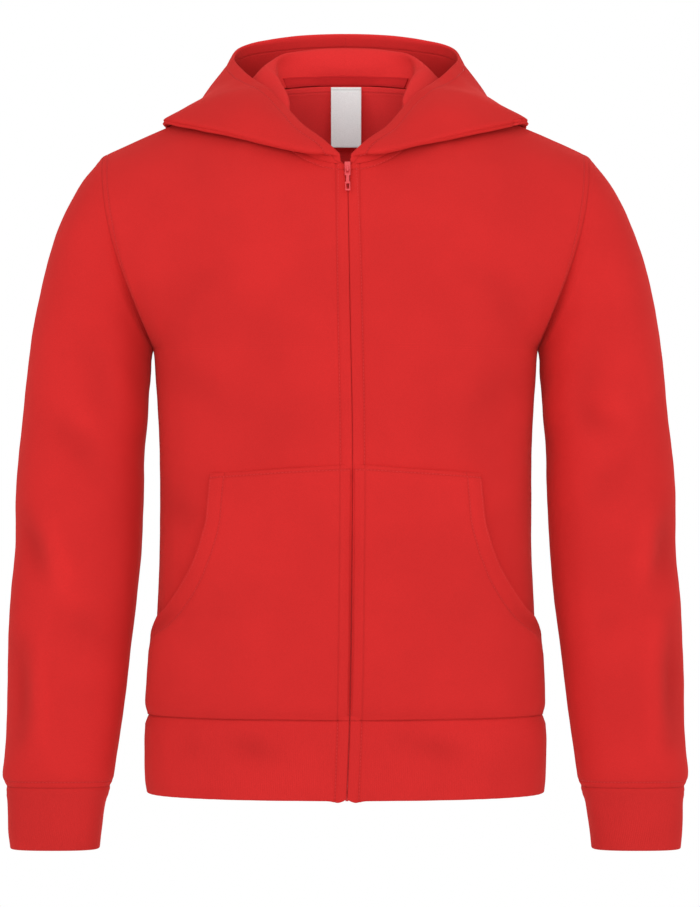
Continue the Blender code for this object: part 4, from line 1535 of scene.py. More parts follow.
@dataclass
class Garment:
    """The fronts, back, sleeves, cuffs and waistband, sewn together as one skin."""

    form: BodyForm
    step: float = 3.2
    zip_row: float = 7.9
    waist_row: float = 4.5
    cuff_row: float = 4.9
    neck_row: float = 5.0
    armhole_row: float = 4.5
    turn_length: float = 200.0  # about how long a turn from 0 to 1 is
    rise_length: float = 160.0  # the same for an armhole
    zip_reach: float = 155.0  # how wide a front is taken to be beside the zip
    row_width: float = 1.4
    rows_start: float = 0.02  # the turn beside the zip where the rows of stitches start
    edge_calm: float = 9.0  # how near a seam or edge the waves and creases fade
    soft_times: int = 50
    soft_reach: float = 45.0  # how far above and below the armpit the cloth is evened out
    soft_from_seam: float = 6.0
    soft_from_side: float = 7.0
    soft_from_zip: float = 14.0
    shut_by: float = 1.45  # how far the fronts' edges close over the zip
    shut_width: float = 2.4
    shut_below: float = -80.0
    shut_over: float = 8.0
    slack: float = 0.2  # how much less they close at the foot of the zip
    slack_below: float = -320.0
    slack_over: float = 120.0
    hem_lift: float = 1.3  # how far the hem dips and rises beside the zip
    hem_height: float = 16.0
    hem_reach: float = 60.0
    skin: Skin = field(default_factory=Skin)
    waves: tuple[tuple[float, float, int], ...] = ((0.5, 70.0, 3), (0.2, 24.0, 5))
    reliefs: tuple[Relief, ...] = (
        # the puffs beside the seams and the grooves along them
        Relief("from_waist", 0.2, 6.0, 4.0), Relief("from_waist", -0.25, 0.0, 1.4),
        Relief("from_cuff", 0.5, 6.0, 4.0), Relief("from_cuff", -0.6, 0.0, 1.6),
        Relief("from_side", 0.2, 6.0, 4.0), Relief("from_side", -0.4, 0.0, 1.6),
        Relief("from_shoulder", 0.4, 6.0, 4.0), Relief("from_shoulder", -0.7, 0.0, 1.6),
        Relief("from_underarm", 0.2, 6.0, 4.0), Relief("from_underarm", -0.4, 0.0, 1.6),
        # the rows of stitches
        Relief("from_zip", -0.45, zip_row, row_width),
        Relief("from_waist", -0.35, waist_row, row_width),
        Relief("from_neck", -0.4, neck_row, row_width),
        Relief("from_cuff", -0.3, cuff_row, row_width),
        Relief("from_armhole", -0.2, armhole_row, row_width),
        # the puffs on both sides of the zip's row
        Relief("from_zip", 0.55, 3.6, 2.4), Relief("from_zip", 0.3, 10.6, 2.0),
    )
    armhole: ArmholeRelief = ArmholeRelief()
    creases: tuple[Crease, ...] = tuple(
        Crease(face, *sizes) for face, rows in CREASES.items() for sizes in rows
    )

    def cuts(self) -> dict[str, Cut]:
        """The pieces, with the walls, rows of stitches and sizes they were cut to.

        Returns:
            Each piece's cut, by its node.
        """
        fleece = {"finish": FLEECE, "slot": "fleece", "thickness": FLEECE_WALL, "back": PAINTED_LIGHT_LINING}
        rib = {"slot": "rib", "thickness": RIB_WALL, "held": "stretched"}
        front_rows = (
            ("from_zip", self.zip_row), ("from_neck", self.neck_row),
            ("from_waist", self.waist_row), ("from_armhole", self.armhole_row),
        )
        body_seams = ("from_waist", "from_armhole", "from_side", "from_shoulder")
        plans = []
        for side in Side:
            plans += [
                Cut(
                    f"front_{side.label}", flat=(0.24, 0.52), area=0.098, rows=front_rows,
                    seams=body_seams, free=("from_zip",), **fleece,
                ),
                Cut(
                    f"sleeve_{side.label}", flat=(0.36, 0.50), area=0.13,
                    rows=(("from_cuff", self.cuff_row),),
                    seams=("from_armhole", "from_cuff", "from_underarm"), **fleece,
                ),
                Cut(
                    f"cuff_{side.label}", flat=(0.17, 0.052), area=0.0086,
                    seams=("from_cuff",), free=("from_end",), finish=PAINTED_SHADE_CUFF_RIBBING, **rib,
                ),
            ]
        plans += [
            Cut("back", flat=(0.44, 0.53), area=0.2, rows=front_rows[1:], seams=body_seams, **fleece),
            Cut(
                "waistband", flat=(0.78, 0.074), area=0.0575, rows=front_rows[:1],
                seams=("from_waist",), free=("from_end", "from_zip"), finish=RIBBING, **rib,
            ),
        ]
        return {plan.node: plan for plan in plans}

    def lay_out(self, numbers: dict[str, int]) -> None:
        """Lays out every patch.

        Args:
            numbers: Each piece's number.
        """
        form = self.form
        beside_zip = ((x / self.zip_reach) ** (form.power / 2) for x in ZIP_COLUMNS)
        zip_turns = [0.0, *(asin(across) * 2 / pi for across in beside_zip)]
        turn_step, rise_step = self.step / self.turn_length, self.step / self.rise_length
        neck_turns = spaced(zip_turns[-1], form.neck_share, turn_step)
        side_turns = spaced(form.neck_share, 1.0, turn_step, (), SIDE_TURNS)
        across = sorted({*zip_turns, *neck_turns, *side_turns})
        ups = spaced(0.0, 1.0, rise_step, ARMPIT_RISES, TOP_RISES)
        trunk_rows = spaced(form.waist_seam, form.armpit, self.step, SEAM_ROWS, ARMPIT_ROWS)
        band_rows = spaced(form.hem, form.waist_seam, self.step, EDGE_ROWS, SEAM_ROWS[:5])
        sleeve_rows = spaced(0.0, form.cuff_seam, self.step, SEAM_ROWS, SEAM_ROWS)
        cuff_rows = spaced(form.cuff_seam, form.cuff_end, self.step, SEAM_ROWS[:5], EDGE_ROWS)
        for side in Side:
            for face in Face:
                body = numbers["back" if face is Face.BACK else f"front_{side.label}"]

                trunk, yoke, arm = (
                    partial(place, side, face)
                    for place in (form.trunk_point, form.yoke_point, form.arm_point)
                )
                self.skin.add_patch(body, across, trunk_rows, trunk)
                self.skin.add_patch(body, across, ups, yoke)
                self.skin.add_patch(numbers["waistband"], across, band_rows, trunk)
                self.skin.add_patch(numbers[f"sleeve_{side.label}"], ups, sleeve_rows, arm)
                self.skin.add_patch(numbers[f"cuff_{side.label}"], ups, cuff_rows, arm)

    def soften_armpits(self, away: dict[str, np.ndarray]) -> None:
        """Evens out the trunk round the height of the armpits.

        Args:
            away: How far each corner is from each seam.
        """
        spots, form = self.skin.spots, self.form
        clear = np.minimum(away["from_armhole"], away["from_side"]) > self.soft_from_seam
        level = np.abs(spots[:, 2] - form.armpit) < self.soft_reach
        half_width = form.trunk.at(form.armpit, "half_width") - self.soft_from_side
        chosen = clear & level & (np.abs(spots[:, 0]) < half_width)
        self.skin.soften(chosen & (away["from_zip"] > self.soft_from_zip), self.soft_times)

    def close_zip(self, spots: np.ndarray, away: np.ndarray) -> None:
        """Closes the fronts' edges over the zip, and curls the hem beside it.

        Args:
            spots: Where the corners were before the folds, in millimetres.
            away: How far they are from the zip's edges.
        """
        heights = spots[:, 2]
        hem = np.clip((self.form.hem + self.hem_height - heights) / self.hem_height, 0.0, 1.0)
        hem *= np.abs(spots[:, 0]) < self.hem_reach
        falls = self.hem_lift * (bell(away, 6.0, 4.2) - bell(away, 0.0, 1.6)) * hem
        closed = np.clip((self.shut_below - heights) / self.shut_over, 0.0, 1.0)
        slack = self.slack * np.clip((self.slack_below - heights) / self.slack_over, 0.0, 1.0)
        moves = (self.shut_by - slack) * bell(away, 0.0, self.shut_width) * closed
        moves *= np.sign(spots[:, 0] - [self.form.zip_x(height) for height in heights])
        for vert, fall, inward in zip(self.skin.maker.verts, falls, moves):
            vert.co -= Vector((inward, 0, fall)) * MM
        self.skin.maker.normal_update()

    def sculpt(self) -> None:
        """Sinks the seams and rows of stitches and lays the cloth in its folds."""
        skin = self.skin
        away = {name: skin.values(name) for name in SEAM_LAYERS}
        self.soften_armpits(away)
        spots, normals = skin.spots, skin.normals
        folds = sum(crease.lift(spots, normals) for crease in self.creases)
        # The creases' depths, for painted shade in their troughs and painted light on their ridges.
        skin.mark_folds(-folds)
        waves = (height * ripple(spots, reach, seed) for height, reach, seed in self.waves)
        nearest = np.minimum.reduce(list(away.values()))
        lift = (sum(waves) + folds) * np.clip(nearest / self.edge_calm, LEAST_WAVE, 1.0)
        lift += sum(relief.lift(away) for relief in self.reliefs)
        lift += self.armhole.lift(spots, normals, away["from_armhole"])
        skin.lift(lift)
        self.close_zip(spots, away["from_zip"])

    def rows_of_stitches(self) -> dict[str, list[list[Vector]]]:
        """The lines that the rows of stitches run along.

        Returns:
            The lines of each piece of stitches.
        """
        form, even = self.form, shares(160)
        beside_zip = form.zip_half_gap + self.zip_row
        waist, cuff = form.waist_seam + self.waist_row, form.cuff_seam - self.cuff_row
        zips = (
            (form.waist_seam + 1.5, form.neck_front - 1.0, even),
            (form.hem + 1.5, form.waist_seam - 1.0, even[::8]),
        )
        rows = {name: [] for name in ("zip", "neckline", "waist", "armhole", "cuff")}
        for side in Side:
            for foot, top, steps in zips:
                places = [
                    (side.value * form.zip_x(height) + beside_zip, height)
                    for height in (mix(foot, top, share) for share in steps)
                ]
                rows["zip"].append([form.front_spot(side, *place, 0) for place in places])
            for face in Face:
                yoke = partial(form.yoke_point, side, face)
                start = self.rows_start if face is Face.FRONT else 0.0
                across = [mix(start, form.neck_share, share) for share in even]
                turns = [mix(self.rows_start, 1.0, share) for share in even]
                rows["neckline"].append(
                    [inset(yoke(place, 1.0), yoke(place, 0.86), self.neck_row) for place in across]
                )
                rows["armhole"].append(
                    [inset(yoke(1.0, up), yoke(0.9, up), self.armhole_row) for up in even[8:-2]]
                )
                rows["waist"].append([form.trunk_point(side, face, turn, waist) for turn in turns])
                rows["cuff"].append([form.sleeve_point(side, face, cuff, turn) for turn in even])
        return rows

    def build(self) -> None:
        """Makes the pieces and their stitches."""
        plans = self.cuts()
        numbers = {name: number for number, name in enumerate(plans, 1)}
        self.lay_out(numbers)
        self.skin.close(Vector((0, -1, 0)))
        self.skin.measure(self.form.seams)
        self.sculpt()
        for name, plan in plans.items():
            self.skin.cut(numbers[name], plan, round_by=1.1)
        for name, rows in self.rows_of_stitches().items():
            Stitching().sew(f"{name}_stitches", rows, self.skin.tree)


# ---- pockets


POCKET_ZIP = (0.002, 0.006, 0.012, 0.02, 0.03)
POCKET_MOUTH = (0.002, 0.006, 0.012, 0.02, 0.032, 0.046, 0.062, 0.08, 0.1, 0.12)
POCKET_FOOT = (0.004, 0.01)
POCKET_TOP = (0.002, 0.005, 0.01, 0.015, 0.02, 0.027, 0.036)


@dataclass
class Pockets:
    """The two halves of the front pocket."""

    form: BodyForm
    top: float = -306.0
    corner: float = -313.0
    mouth_foot: float = -428.0
    cloth: float = 2.0
    lift: float = 0.8
    room: float = 7.0  # how far the cloth stands off at the mouth
    belly: float = 0.85  # the same over the hand's room, as a share
    belly_power: float = 0.7
    blend: float = 14.0  # how far below the mouth its edge reaches the side seam
    side_turn: float = 0.985
    hem_row: float = 13.5
    hem_flare: float = 3.5  # how much wider the mouth's hem is at its foot
    flares_below: float = -385.0
    flares_over: float = 40.0
    hem_end: float = 0.345
    edge_end: float = 0.37
    rows_end: float = 0.985
    edge_row: float = 1.9
    top_row: float = 4.0
    zip_row: float = 8.2
    foot_from: float = 122.0  # the mouth's foot is beyond this x
    foot_over: float = 22.0
    foot_middle: float = -436.0
    foot_half_height: float = 17.0
    foot_ridge: Relief = Relief("from_mouth", 0.8, 17.5, 3.0)
    foot_hollow: Relief = Relief("from_mouth", 1.5, 9.0, 4.5)
    # how deep the painted shade in the hollow at the mouth's foot is, per millimetre of the hollow
    foot_shade: float = 2.6
    creases: tuple[Crease, ...] = (
        Crease(Face.FRONT, (128, -432), (84, -410), 15, 1.6),
        Crease(Face.FRONT, (60, -490), (66, -380), 22, 1.0),
    )
    reliefs: tuple[Relief, ...] = (
        Relief("from_top", -1.5, 0.0, 3.0), Relief("from_top", -0.45, top_row, 1.0),
        Relief("from_mouth", -0.5, hem_row, 1.2), Relief("from_mouth", 0.5, 7.0, 5.0),
        Relief("from_first", -0.45, zip_row, 1.4), Relief("from_first", -1.4, 0.0, 4.0),
        Relief("from_foot", -1.9, 0.0, 5.0),
    )
    mouth: SizeTable = SizeTable(
        ("height", "across"),
        (
            (-428, 149.0), (-417, 137.5), (-400, 124.5), (-385, 115.5),
            (-368, 109.0), (-345, 104.8), (-325, 105.0), (-306, 106.5),
        ),
    )

    def point(self, side: Side, across: float, up: float) -> Vector:
        """A point of a pocket.

        Args:
            side: Which side.
            across: From 0 at the zip to 1 at the mouth or side seam.
            up: From 0 at the waist seam to 1 at the top edge.

        Returns:
            The point.
        """
        top = mix(self.top, self.corner, across)
        height = mix(self.form.waist_seam + 0.3, top, up)
        edge = self.form.trunk_turn(side, height, self.mouth.at(height, "across"))
        if height < self.mouth_foot:
            edge = mix(self.side_turn, edge, unit(1 - (self.mouth_foot - height) / self.blend))
        belly = self.belly * (sin(pi * across) * sin(pi * up)) ** self.belly_power
        share = unit((height - self.mouth_foot) / (self.corner - self.mouth_foot))
        open_by = sin(pi * share) * across**2 * (3 - 2 * across)
        room = 1 - (1 - belly) * (1 - open_by)
        lift = self.lift + self.cloth + self.room * room
        return self.form.trunk_point(side, Face.FRONT, edge * across, height, lift)

    def build(self) -> None:
        """Makes both halves with their hems and stitches."""
        columns = spaced(0.0, 1.0, 0.018, POCKET_ZIP, POCKET_MOUTH)
        rows = spaced(0.0, 1.0, 0.016, POCKET_FOOT, POCKET_TOP)
        for side in Side:
            skin = Skin()
            skin.add_patch(1, columns, rows, partial(self.point, side))
            skin.close(Vector((0, -1, 0)))
            self.measure_mouth(skin, side)
            self.sculpt(skin, side)
            node = f"pocket_{side.label}"
            plan = Cut(
                node, FLEECE, "fleece", self.cloth, (0.19, 0.21), 0.033, "laid", back=PAINTED_LIGHT_LINING,
                rows=(
                    ("from_mouth", self.hem_row),
                    ("from_top", self.top_row),
                    ("from_first", self.zip_row),
                ),
                free=("from_last", "from_top"), rests_on=(f"front_{side.label}_cloth",),
            )
            skin.cut(1, plan)
            hem, edge, top = (
                [mix(start, self.rows_end, share) for share in shares(90)]
                for start in (self.hem_end, self.edge_end, 0.0)
            )
            lines = [
                [self.inside(side, up, self.hem_row) for up in hem],
                [self.inside(side, up, self.edge_row) for up in edge],
                [self.point(side, across, 1.0) - Vector((0, 0, self.top_row)) for across in top],
            ]
            Stitching().sew(f"{node}_stitches", lines, skin.tree)

    def flare(self, height: float) -> float:
        """How much wider the mouth's hem is at a height than at its top."""
        return self.hem_flare * unit((self.flares_below - height) / self.flares_over)

    def inside(self, side: Side, up: float, gap: float) -> Vector:
        """A point inside the mouth's edge.

        Args:
            side: Which side.
            up: From 0 at the waist seam to 1 at the top edge.
            gap: How far in it is, where the hem isn't widened.

        Returns:
            The point.
        """
        edge, inner = self.point(side, 1.0, up), self.point(side, 0.9, up)
        along = (self.point(side, 1.0, up + 0.01) - self.point(side, 1.0, up - 0.01)).normalized()
        inward = inner - edge
        inward = (inward - along * inward.dot(along)).normalized()
        return edge + inward * gap * (1 + self.flare((edge + inward * gap).z) / self.hem_row)

    def measure_mouth(self, skin: Skin, side: Side) -> None:
        """Notes how far the cloth is from the mouth's edge, less where the hem widens.

        Args:
            skin: The pocket's surface.
            side: Which side.
        """
        line = [self.point(side, 1.0, mix(self.hem_end, 1.0, share)) for share in shares(200)]
        skin.measure({"from_mouth": search_tree(line)})
        layer = skin.maker.verts.layers.float["from_mouth"]
        for vert in skin.maker.verts:
            vert[layer] *= self.hem_row / (self.hem_row + self.flare(vert.co.z / MM))

    def sculpt(self, skin: Skin, side: Side) -> None:
        """Lays a pocket's hem, rows of stitches and soft folds.

        Args:
            skin: The pocket's surface.
            side: Which side.
        """
        spots, normals = skin.spots, skin.normals
        away = {name: skin.values(name) for name in (*PATCH_LAYERS, "from_mouth")}
        lift = 0.4 * ripple(spots, 60.0, 11 + side.value) + 0.15 * ripple(spots, 22.0, 15)
        foot = np.clip((np.abs(spots[:, 0]) - self.foot_from) / self.foot_over, 0.0, 1.0)
        foot *= bell(spots[:, 2], self.foot_middle, self.foot_half_height)
        hollow = foot * self.foot_hollow.lift(away)
        # Painted shade in the hollow at the mouth's foot.
        skin.mark_folds(self.foot_shade * hollow)
        lift += foot * self.foot_ridge.lift(away) - hollow
        lift += sum(crease.on(side).lift(spots, normals) for crease in self.creases)
        lift += sum(relief.lift(away) for relief in self.reliefs)
        skin.lift(lift)


# ---- hood


HOOD_SEAM = (0.004, 0.01)
HOOD_RIM = (0.003, 0.008, 0.014, 0.024, 0.036, 0.05, 0.062, 0.075)
HOOD_ENDS = (0.03, 0.07)
HOOD_NAPE = (0.01, 0.025, 0.045, 0.07)


@dataclass
class Hood:
    """The hood's two halves, sewn together along the middle of the back."""

    form: HoodForm
    cloth: float = 2.6
    end_share: float = 0.4  # how thick the cloth is at the front ends, as a share
    end_reach: float = 40.0
    hem_row: float = 9.5
    calm_reach: float = 60.0  # how near the front ends the folds fade
    soft_times: int = 8
    reliefs: tuple[Relief, ...] = (
        Relief("from_last", -0.3, hem_row, 1.4), Relief("from_last", 0.25, 5.0, 3.0)
    )
    centre_seam: Relief = Relief("from_top", -0.15, 0.0, 2.5)

    def share(self, spot: Vector) -> float:
        """How thick the cloth is at a spot: its front ends are sewn flat."""
        return mix(self.end_share, 1.0, min(abs(spot.x) / self.end_reach, 1.0))

    def build(self) -> Skin:
        """Makes both halves.

        Returns:
            The hood's surface.
        """
        skin = Skin()
        columns = spaced(0.0, 1.0, 1 / 72, HOOD_SEAM, HOOD_RIM)
        rows = spaced(0.0, self.form.last, 1 / 9, HOOD_ENDS, HOOD_NAPE)
        numbers = {Side.LEFT: 1, Side.RIGHT: 2}
        for side in Side:

            def hood(across: float, place: float, side: Side = side) -> Vector:
                """A point of this half."""
                return self.form.point(side, place, across)

            skin.add_patch(numbers[side], columns, rows, hood)
        skin.close(Vector((0, 1, 0)))
        self.sculpt(skin)
        for side in Side:
            plan = Cut(
                f"hood_{side.label}", FLEECE, "fleece", self.cloth, (0.27, 0.36), 0.09, "folded",
                back=PAINTED_LIGHT_HOOD_LINING, rows=(("from_last", self.hem_row),), free=("from_last",),
            )
            skin.cut(numbers[side], plan, round_by=1.8, share=self.share, shift=self.cloth / 2)
        places = [mix(0.5, self.form.last, share) for share in shares(240)]
        lines = [
            [inset(*(self.form.point(side, place, across) for across in (1.0, 0.93)), self.hem_row)
             for place in places]
            for side in Side
        ]
        Stitching().sew("hood_stitches", lines, self.outer_tree(skin))
        return skin

    def outer_tree(self, skin: Skin) -> BVHTree:
        """The hood's outer face, for its stitches.

        Args:
            skin: The hood's surface, which is the middle of its cloth.

        Returns:
            A search tree of it.
        """
        maker = skin.maker.copy()
        for vert in maker.verts:
            vert.co += vert.normal * (self.cloth / 2 * MM)
        return BVHTree.FromBMesh(maker)

    def sculpt(self, skin: Skin) -> None:
        """Lays the hood's hem, centre seam and soft folds.

        Args:
            skin: The hood's surface.
        """
        spots = skin.spots
        away = {name: skin.values(name) for name in PATCH_LAYERS}
        room = np.clip(np.abs(spots[:, 0]) / self.calm_reach, LEAST_WAVE, 1.0)
        lift = 0.6 * ripple(spots, 55.0, 21) + 0.25 * ripple(spots, 22.0, 23)
        lift = (lift + sum(relief.lift(away) for relief in self.reliefs)) * room
        skin.soften((away["from_first"] > 14.0) & (away["from_last"] > 3.0), self.soft_times)
        lift += self.centre_seam.lift(away)
        skin.lift(lift)


@dataclass
class NeckTrim:
    """The tape over the neck seam inside, and the bare label that hangs from it."""

    form: HoodForm
    foot: float = -0.012  # where its foot and top are across the hood
    height: float = 1 / 16
    sections: float = 3.0  # how far it runs to each side, in the hood's sections
    thickness: float = 1.0
    off: float = 2.1
    row: float = 1.3
    row_puff: float = 0.25
    row_groove: float = 0.35
    row_width: float = 0.7
    label_foot: float = 0.008
    label_size: tuple[float, float] = (25.0, 50.0)
    label_middle: float = 0.4
    label_lean: float = 0.05
    label_curl: float = 1.2
    label_bow: float = 0.6
    label_set: float = 4.0
    label_drop: float = 2.6
    label_row: float = 2.5

    def tape_point(self, place: float, row: float) -> Vector:
        """A point of the tape.

        Args:
            place: From -1 at its right end to 1 at its left end.
            row: From 0 at its foot to 1 at its top.

        Returns:
            The point.
        """
        side = Side.LEFT if place > 0 else Side.RIGHT
        spot_place = self.form.last - abs(place) * self.sections
        up = mix(self.foot, self.height, row)
        spot = self.form.point(side, spot_place, up)
        rise = self.form.point(side, spot_place, up + 0.01) - spot
        round_neck = self.form.point(side, spot_place - 0.05, up) - spot
        inward = rise.cross(round_neck).normalized()
        if inward.dot(spot - Vector((0, self.form.body.neck_side[0], spot.z))) > 0:
            inward.negate()
        return spot + inward * self.off

    def build(self) -> None:
        """Makes the tape with its two rows of stitches, and the label."""
        skin = Skin()
        columns = [index / 90 for index in range(-90, 91)]
        rows = spaced(0.0, 1.0, 0.0933, (0.03, 0.08), (0.03, 0.08))
        skin.add_patch(1, columns, rows, self.tape_point)
        skin.close(Vector((0, 1, 0)))
        edges = ("from_foot", "from_top")
        for name in edges:
            away = skin.values(name)
            skin.lift(self.row_puff - self.row_groove * bell(away, self.row, self.row_width))
        plan = Cut(
            "neck_tape", NECK_TAPE, "neck_tape", self.thickness, (0.105, 0.0125), 0.00105, "laid",
            rows=tuple((name, self.row) for name in edges), free=edges,
            rests_on=("hood_left_cloth", "hood_right_cloth"),
        )
        skin.cut(1, plan, round_by=0.7)
        lines = [[self.tape_point(place, share) for place in columns] for share in (0.13, 0.87)]
        Stitching(length=1.8, pitch=2.4, radius=0.22).sew("neck_tape_stitches", lines, skin.tree)
        self.build_label()

    def build_label(self) -> None:
        """Makes the label: a folded strip of satin, sewn in at its top and curling a little."""
        width, height = self.label_size
        top = self.form.point(Side.LEFT, self.form.last, self.label_foot)
        face = top.y - self.label_set
        skin = Skin()

        def label(across: float, up: float) -> Vector:
            """A point of the label."""
            drop = height * (1 - up)
            curl = self.label_curl * (2 * across - 1) ** 2 * (1 - up)
            curl -= self.label_bow * sin(pi * up)
            x = self.label_middle + width * (across - 0.5)
            y = face - drop * self.label_lean - curl
            return Vector((x, y, top.z - self.label_drop - drop))

        near = (0.012, 0.03, 0.05)
        columns = spaced(0.0, 1.0, 0.05, near, near)
        rows = spaced(0.0, 1.0, 0.03, near[:2], near[:2])
        skin.add_patch(1, columns, rows, label)
        skin.close(Vector((0, 1, 0)))
        plan = Cut(
            "label", LABEL_CLOTH, "label", self.thickness, (0.025, 0.05), 0.00125, "hung",
            rows=(("from_top", self.label_row),), free=PATCH_LAYERS, rests_on=("neck_tape_cloth",),
        )
        skin.cut(1, plan, round_by=0.6)


# ---- zip


@dataclass
class Zip:
    """The tapes, the closed teeth, the bottom box, and the enamelled slider and pull."""

    form: BodyForm
    tape_width: float = 13.0
    tape_inner: float = 0.3  # how far from the zip's line its inner edge is
    tape_held: float = 1.65  # it is flat from that edge to here
    tape_set: float = 0.7  # how far behind the cloth it lies
    tape_cloth: float = 1.0
    tape_foot: float = 2.0
    tape_short: float = 2.5
    tooth: tuple[float, float, float] = (1.3, 1.5, 0.8)
    tooth_bevel: float = 0.18
    tooth_pitch: float = 1.36
    tooth_offset: float = 0.35
    tooth_depth: float = 1.9
    tooth_share: float = 0.72  # how much of its height a tooth has
    foot_share: float = 0.9  # the same at the foot, where the teeth show
    chain_foot: float = 8.6
    close_teeth: float = 12.0
    chain_top: float = -76.6
    box: tuple[float, float, float] = (1.25, 1.8, 8.8)
    box_bevel: float = 0.3
    box_drop: float = 0.4
    box_depth: float = 2.5

    def build(self) -> None:
        """Makes the zip's pieces and dresses the slider and pull."""
        for side in Side:
            self.build_tape(side)
        self.build_teeth()
        self.build_box()
        for node in ("zip_slider", "zip_pull"):
            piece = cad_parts[node]
            for piece_slot in piece.material_slots:
                piece_slot.material = ENAMEL.material

    def build_tape(self, side: Side) -> None:
        """Makes the woven tape behind one front's edge.

        Args:
            side: Which side.
        """
        form = self.form
        skin = Skin()

        def tape(across: float, height: float) -> Vector:
            """A point of the tape."""
            wall = FLEECE_WALL if height > form.waist_seam + 1.0 else RIB_WALL
            x = side.value * form.zip_x(height) + max(across, self.tape_held)
            spot = form.front_spot(side, x, height, wall + self.tape_set)
            spot.x -= side.value * max(self.tape_held - across, 0.0)
            return spot

        outer = self.tape_inner + self.tape_width
        columns = spaced(self.tape_inner, outer, 1.8, (0.4, 1.35), (0.4,))
        start, end = form.hem + self.tape_foot, form.neck_front - self.tape_short
        over = form.waist_seam - 2.0
        rows = [mix(start, over, share) for share in shares(4)[:4]]
        rows += spaced(over, end, 7.0, (3.0,))
        skin.add_patch(1, columns, rows, tape)
        skin.close(Vector((0, -1, 0)))
        plan = Cut(
            f"zip_tape_{side.label}", ZIP_TAPE, "zip_tape", self.tape_cloth, (0.013, 0.51), 0.00663,
            "laid", free=("from_last",), rests_on=(f"front_{side.label}_cloth",),
        )
        skin.cut(1, plan, round_by=0.5)

    def build_teeth(self) -> None:
        """Makes the closed row of teeth, one side's between the other's, on its cord."""
        width, depth, height = self.tooth
        maker = bmesh.new()
        start = self.form.hem + self.chain_foot
        count = round((self.chain_top - start) / (self.tooth_pitch / 2))
        for index in range(count):
            z = start + index * self.tooth_pitch / 2
            offset = self.tooth_offset if index % 2 else -self.tooth_offset
            spot = self.form.zip_spot(z, self.tooth_depth, offset)
            share = self.foot_share if z < start + self.close_teeth else self.tooth_share
            add_block(maker, spot, (width, depth, height * share), self.tooth_bevel, 1)
        new_piece("zip_teeth", maker, NYLON, ["zip_chain"])

    def build_box(self) -> None:
        """Makes the box at the foot of the zip, with the groove between it and its pin."""
        width, _, height = self.box
        middle = self.form.hem - self.box_drop + height / 2
        maker = bmesh.new()
        for way in (-1, 1):
            spot = self.form.zip_spot(middle, self.box_depth, way * width / 2)
            add_block(maker, spot, self.box, self.box_bevel, 2)
        new_piece("zip_foot", maker, NYLON, ["zip_box"])


# ---- studio


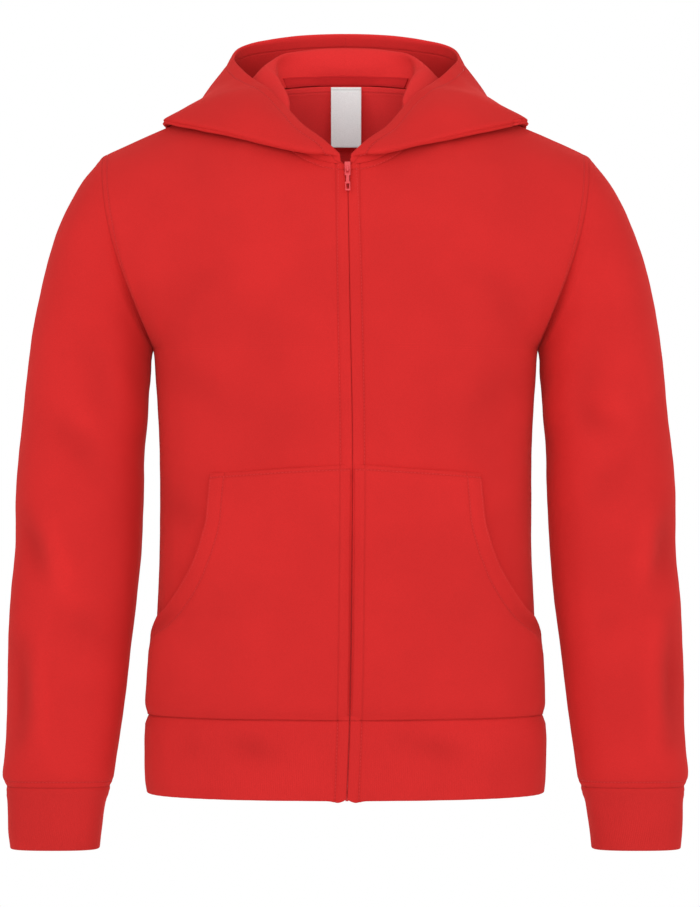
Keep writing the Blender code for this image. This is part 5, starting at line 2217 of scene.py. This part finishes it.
@dataclass
class Studio:
    """The plain pale floor, the soft light and the camera, in metres and watts."""

    camera_at: tuple[float, float, float] = (0.0036, -3.5, -0.2977)
    lens: float = 171.5
    sensor: float = 36.0
    reach: float = 50.0
    floor: Gloss = Gloss("floor_paint", (0.86, 0.86, 0.86), 0.8, wear=0.01, grain=3.0)
    floor_z: float = -1.05
    floor_half: float = 2.0
    sky_ahead: float = 0.86
    sky_behind: float = 0.45
    sky_turn: tuple[float, float] = (-0.4, 0.6)
    sky_lean: float = 0.6
    middle: tuple[float, float, float] = (0.0, 0.0, -0.3)
    neck: tuple[float, float, float] = (0.0, 0.06, -0.02)
    lights: tuple[tuple[str, tuple[float, float, float], float, float], ...] = (
        ("front", (0.2, -3.6, 0.3), 2.4, 32.0),
        ("key", (-2.0, -2.6, 0.8), 2.0, 14.0),
        ("side", (2.6, -1.0, 0.4), 2.0, 8.0),
        ("back", (0.4, 3.6, 0.7), 2.6, 46.0),
    )
    neck_light_at: tuple[float, float, float] = (0.0, -3.3, 0.25)
    neck_light: dict[str, float] = field(
        default_factory=lambda: {
            "energy": 62.0, "spot_size": radians(3.2), "spot_blend": 1.0, "shadow_soft_size": 0.12
        }
    )

    def build(self) -> None:
        """Sets up the studio."""
        maker = bmesh.new()
        bmesh.ops.create_grid(maker, x_segments=4, y_segments=4, size=self.floor_half)
        bmesh.ops.translate(maker, verts=maker.verts, vec=Vector((0, 0, self.floor_z)))
        floor = add_object("floor", new_mesh("floor", maker, self.floor))
        self.add_sky()
        for name, spot, size, power in self.lights:
            settings = {"shape": "DISK", "size": size, "energy": power}
            self.add_light(name, "AREA", spot, self.middle, settings)
        self.add_light("neck", "SPOT", self.neck_light_at, self.neck, self.neck_light)
        self.add_camera()

    def add_sky(self) -> None:
        """Adds a white surround that is brighter behind the garment than it shines on it."""
        world = bpy.data.worlds.new("studio_white")
        world.use_nodes = True
        nodes, links = world.node_tree.nodes, world.node_tree.links
        shown, shining = nodes["Background"], nodes.new("ShaderNodeBackground")
        for surround in (shown, shining):
            surround.inputs["Color"].default_value = (1.0, 1.0, 1.0, 1.0)
        shown.inputs["Strength"].default_value = 1.0
        place, parts, grade, turn, path, either = (
            nodes.new(f"ShaderNode{kind}")
            for kind in ("TexCoord", "SeparateXYZ", "MapRange", "Math", "LightPath", "MixShader")
        )
        turn.operation = "MULTIPLY_ADD"
        turn.inputs[1].default_value = self.sky_lean
        limits = (*self.sky_turn, self.sky_ahead, self.sky_behind)
        for key, value in zip(("From Min", "From Max", "To Min", "To Max"), limits):
            grade.inputs[key].default_value = value
        for output, socket in (
            (place.outputs["Generated"], parts.inputs[0]),
            (parts.outputs["Z"], turn.inputs[0]),
            (parts.outputs["Y"], turn.inputs[2]),
            (turn.outputs[0], grade.inputs["Value"]),
            (grade.outputs["Result"], shining.inputs["Strength"]),
            (path.outputs["Is Camera Ray"], either.inputs[0]),
            (shining.outputs[0], either.inputs[1]),
            (shown.outputs[0], either.inputs[2]),
            (either.outputs[0], nodes["World Output"].inputs["Surface"]),
        ):
            links.new(output, socket)
        bpy.context.scene.world = world
        bpy.context.scene.view_settings.view_transform = "Standard"

    def add_light(
        self, name: str, kind: str, spot: Sequence[float], aim: Sequence[float],
        settings: dict[str, object],
    ) -> None:
        """Adds a light.

        Args:
            name: The light's name.
            kind: What kind it is.
            spot: Where it stands.
            aim: Where it looks.
            settings: Its own settings.
        """
        data = bpy.data.lights.new(name, kind)
        for key, value in settings.items():
            setattr(data, key, value)
        light = add_object(name, data)
        light.location = spot
        light.rotation_euler = (Vector(aim) - Vector(spot)).to_track_quat("-Z", "Y").to_euler()

    def add_camera(self) -> None:
        """Adds the camera, level with the chest."""
        data = bpy.data.cameras.new("camera")
        data.lens, data.sensor_width, data.sensor_fit = self.lens, self.sensor, "AUTO"
        data.clip_end = self.reach
        camera = add_object("camera", data)
        camera.location = self.camera_at
        camera.rotation_euler = (radians(90), 0.0, 0.0)
        bpy.context.scene.camera = camera


def main() -> None:
    """Dresses the garment piece by piece."""
    logging.basicConfig(level=logging.INFO, format="%(message)s")
    body = BodyForm()
    hood = HoodForm(body)
    Studio().build()
    Garment(body).build()
    Pockets(body).build()
    Hood(hood).build()
    NeckTrim(hood).build()
    Zip(body).build()


if __name__ == "__main__":
    main()
